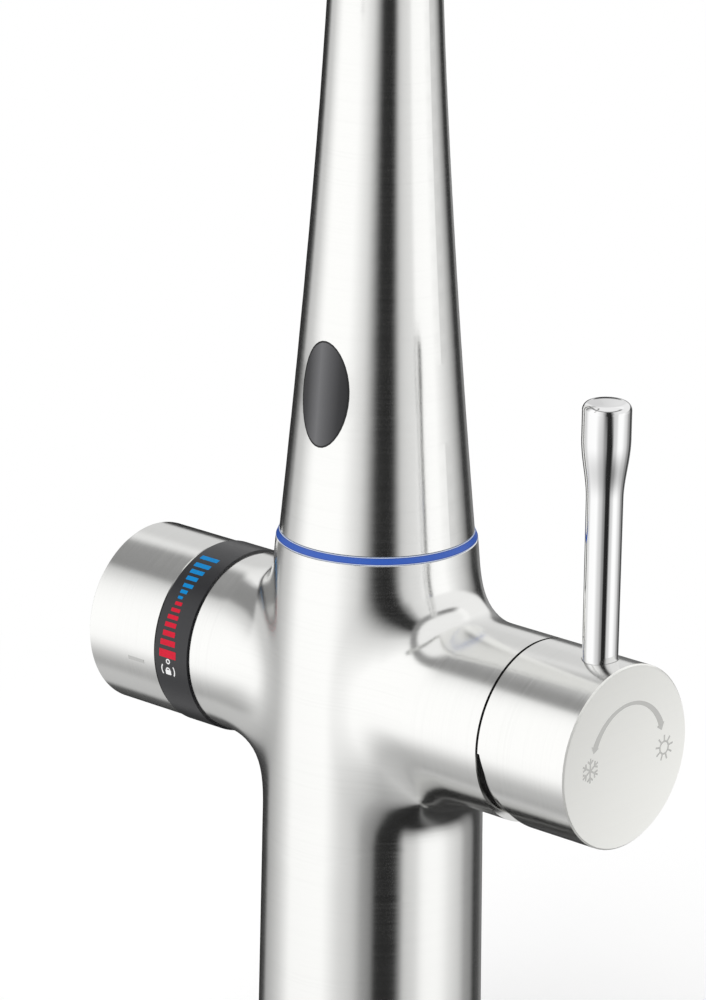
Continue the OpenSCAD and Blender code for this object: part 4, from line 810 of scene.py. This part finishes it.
def brushed(name, tint, axis, roughness=0.15, grain=1.0, metal=1.0):
    """Steel with fine lines round an axis: 0 for X, 2 for Z, and "arms" for the body with its two arms."""
    made, shader = material(name)
    place = shader.place()

    def lines(along, fine, long):
        scale = [long] * 3
        scale[along] = fine
        stretched = shader.node("Mapping", inputs={"Vector": place, "Scale": scale})
        return shader.node("TexNoise", {"noise_dimensions": "3D"},
                           {"Vector": stretched, "Scale": 1.0, "Detail": 3.0, "Roughness": 0.7})

    def pattern(along):
        return lines(along, *FINE_LINES), lines(along, *BROAD_LINES)

    if axis == "arms":
        reach = shader.maths("ABSOLUTE", shader.parts_of(place)[0])
        on_arm = shader.step(reach, ARM_LINES_START, ARM_LINES_END)
        fine, broad = (around_z + (around_x - around_z) * on_arm
                       for around_z, around_x in zip(pattern(2), pattern(0)))
    else:
        fine, broad = pattern(axis)
    tone = fine * (0.10 * grain) + broad * (0.06 * grain) + (1 - 0.08 * grain)
    steel = shader.blend(tone, (0, 0, 0, 1), tint)
    bump = shader.node("Bump", inputs={"Strength": 0.35 * grain, "Distance": GRAIN_DEPTH, "Height": fine})
    shader.finish(shader.node("BsdfPrincipled", inputs={
        "Base Color": steel, "Metallic": metal, "Roughness": fine * 0.14 + (roughness - 0.07), "Normal": bump}))
    return made


def polished(name, tint, roughness):
    made, shader = material(name)
    smear = shader.node("TexNoise", inputs={"Vector": shader.place(), "Scale": 60.0, "Detail": 2.0})
    shader.finish(shader.node("BsdfPrincipled", inputs={
        "Base Color": tint, "Metallic": 1.0, "Roughness": smear * 0.03 + roughness}))
    return made


def moulded(name, tint, roughness=0.45, spots=0.06, size=900.0, gloss=0.5):
    """Plastic, rubber and print: a slightly mottled colour and a fine grain."""
    made, shader = material(name)
    grain = shader.node("TexNoise", inputs={"Vector": shader.place(), "Scale": size, "Detail": 3.0})
    tone = shader.blend(grain * spots + (1 - spots / 2), (0, 0, 0, 1), tint)
    bump = shader.node("Bump", inputs={"Strength": 0.15, "Distance": GRAIN_DEPTH, "Height": grain})
    shader.finish(shader.node("BsdfPrincipled", inputs={
        "Base Color": tone, "Roughness": grain * 0.1 + (roughness - 0.05), "Normal": bump,
        "Specular IOR Level": gloss}))
    return made


def lens_painted_reflection(name):
    """Dark glass with a painted reflection: its colour is lighter a little left of its middle, where a band of
    light is painted in.
    """
    made, shader = material(name)
    place = shader.place()
    across = shader.parts_of(place)[0] * (1 / LENS_WIDTH) + 0.5
    # Painted reflection: the ramp across the lens paints a lighter band a little left of the middle, with
    # darker ends
    tint = shader.node("ValToRGB", {"stops": [
        (share, colour(grey, grey, grey + 2)) for share, grey in
        ((0, 34), (0.12, 52), (0.42, 104), (0.6, 84), (0.85, 46), (1, 30))]}, {"Fac": across})
    cloud = shader.node("TexNoise", inputs={"Vector": place, "Scale": 300.0, "Detail": 2.0})
    shader.finish(shader.node("BsdfPrincipled", inputs={
        "Base Color": tint, "Roughness": cloud * 0.04 + 0.12, "IOR": 1.33}))
    return made


def lit_ring(name):
    """Blue plastic with a light behind it, with painted shade a little in from both edges and a thin painted
    highlight on both edges.
    """
    made, shader = material(name)
    place = shader.place()
    level = shader.parts_of(place)[2]
    shade_low, shade_high = RING_LOW + RING_SHADE_BORDER, RING_HIGH - RING_SHADE_BORDER
    highlight_low, highlight_high = RING_LOW + RING_HIGHLIGHT_BORDER, RING_HIGH - RING_HIGHLIGHT_BORDER
    # Painted shade: the colour turns to the deeper blue in a thin border at both edges, and the cloud adds a
    # random tone
    middle = shader.step(level, RING_LOW, shade_low) * shader.step(level, RING_HIGH, shade_high)
    # Painted highlight: a thin pale line on both edges stands in for light caught from the edges next to the
    # ring
    edge = shader.step(level, highlight_low, RING_LOW) + shader.step(level, highlight_high, RING_HIGH)
    cloud = shader.node("TexNoise", inputs={"Vector": place, "Scale": 250.0, "Detail": 2.0})
    tint = shader.blend(middle * 0.85 + cloud * 0.15, colour(24, 54, 132), colour(42, 86, 176))
    tint = shader.blend(edge, tint, colour(190, 200, 222))
    shader.finish(shader.node("BsdfPrincipled", inputs={
        "Base Color": tint, "Roughness": cloud * 0.08 + 0.3, "Emission Color": tint,
        "Emission Strength": 0.04}))
    return made


STEEL = colour(240, 240, 238)


def dress(finish, *names):
    for name in names:
        data = nodes[name].data
        data.materials.clear()
        data.materials.append(finish)


def dress_nodes():
    """Gives every CAD node its finish; the new pieces take theirs from the same few."""
    steel_z = brushed("steel_brushed_round_z", STEEL, 2)
    steel_x = brushed("steel_brushed_round_x", STEEL, 0)
    steel_body = brushed("steel_brushed_body", STEEL, "arms")
    chrome = polished("chrome", colour(240, 240, 240), 0.06)
    brass = brushed("brass", colour(214, 180, 110), 2, 0.28)
    dark_steel = brushed("steel_dark", colour(120, 120, 124), 2, 0.35)
    black = moulded("black_plastic", colour(36, 36, 39), 0.3)
    rubber = moulded("rubber", colour(24, 24, 25), 0.6)
    lens = lens_painted_reflection("sensor_lens_painted_reflection")
    blue = lit_ring("blue_light")
    pale = moulded("pale_plastic", colour(228, 228, 220), 0.4)
    grey = moulded("grey_plastic", colour(90, 92, 98), 0.45)
    ceramic = moulded("ceramic", colour(240, 240, 236), 0.15)
    board = moulded("board", colour(24, 92, 56), 0.4)
    dress(steel_body, "body")
    dress(steel_z, "neck", "gooseneck", "base_ring", "aerator_housing", "clamp_washer")
    dress(steel_x, "lever_hub", "dial_knob", "dome_collar")
    dress(chrome, "lever_rod", "boil_nozzle", "boil_tube", "stem_pin", "spindle_clip")
    dress(brass, "mounting_shank", "mounting_nut", "ring_nut", "lever_stem", "spout_sleeve", "outlet_block",
          "boil_valve_body", "boil_valve_nut", "boil_spindle")
    dress(dark_steel, "spout_stop_screw", "hub_set_screw", "knob_set_screw")
    dress(black, "scale_ring")
    dress(rubber, "base_gasket", "clamp_gasket", "collar_seal", "sensor_seal", "spout_rings", "spindle_rings",
          "cartridge_seals", "boil_valve_seals", "aerator_washer")
    dress(lens, "sensor_window")
    dress(blue, "light_ring")
    dress(pale, "swivel_bush", "sleeve_band", "dial_glide_ring", "knob_insert", "cartridge_base",
          "cartridge_housing", "mixed_tube")
    dress(grey, "mixer_rotor", "disc_carrier", "aerator_insert", "sensor_module")
    dress(ceramic, "mixer_disc_fixed", "mixer_disc_sliding", "boil_disc_fixed", "boil_disc_turning")
    dress(board, "light_board")
    add_body(steel_body)
    add_shank(brass)
    add_rod(chrome)
    add_cap("hub_cap", "lever_hub", 1, "lever", steel_x,
            brushed("steel_matt_face", colour(244, 244, 240), 2, 0.35, 0.5, 0.6))
    add_cap("dial_cap", "dial_knob", -1, "dial", steel_x,
            brushed("steel_matt_end", colour(222, 222, 219), 2, 0.42, 0.5, 0.5))
    add_face_marks(moulded("face_print", colour(180, 180, 177), 0.5))
    add_scale(moulded("print_blue", colour(0, 130, 198), 0.5, 0.3, 1500.0, 0.15),
              moulded("print_red", colour(206, 26, 52), 0.5, 0.3, 1500.0, 0.15),
              moulded("print_white", colour(236, 236, 236), 0.4))
    add_pointer(brushed("steel_pointer", colour(216, 216, 214), 0, 0.2))


add_camera()
add_studio()
dress_nodes()
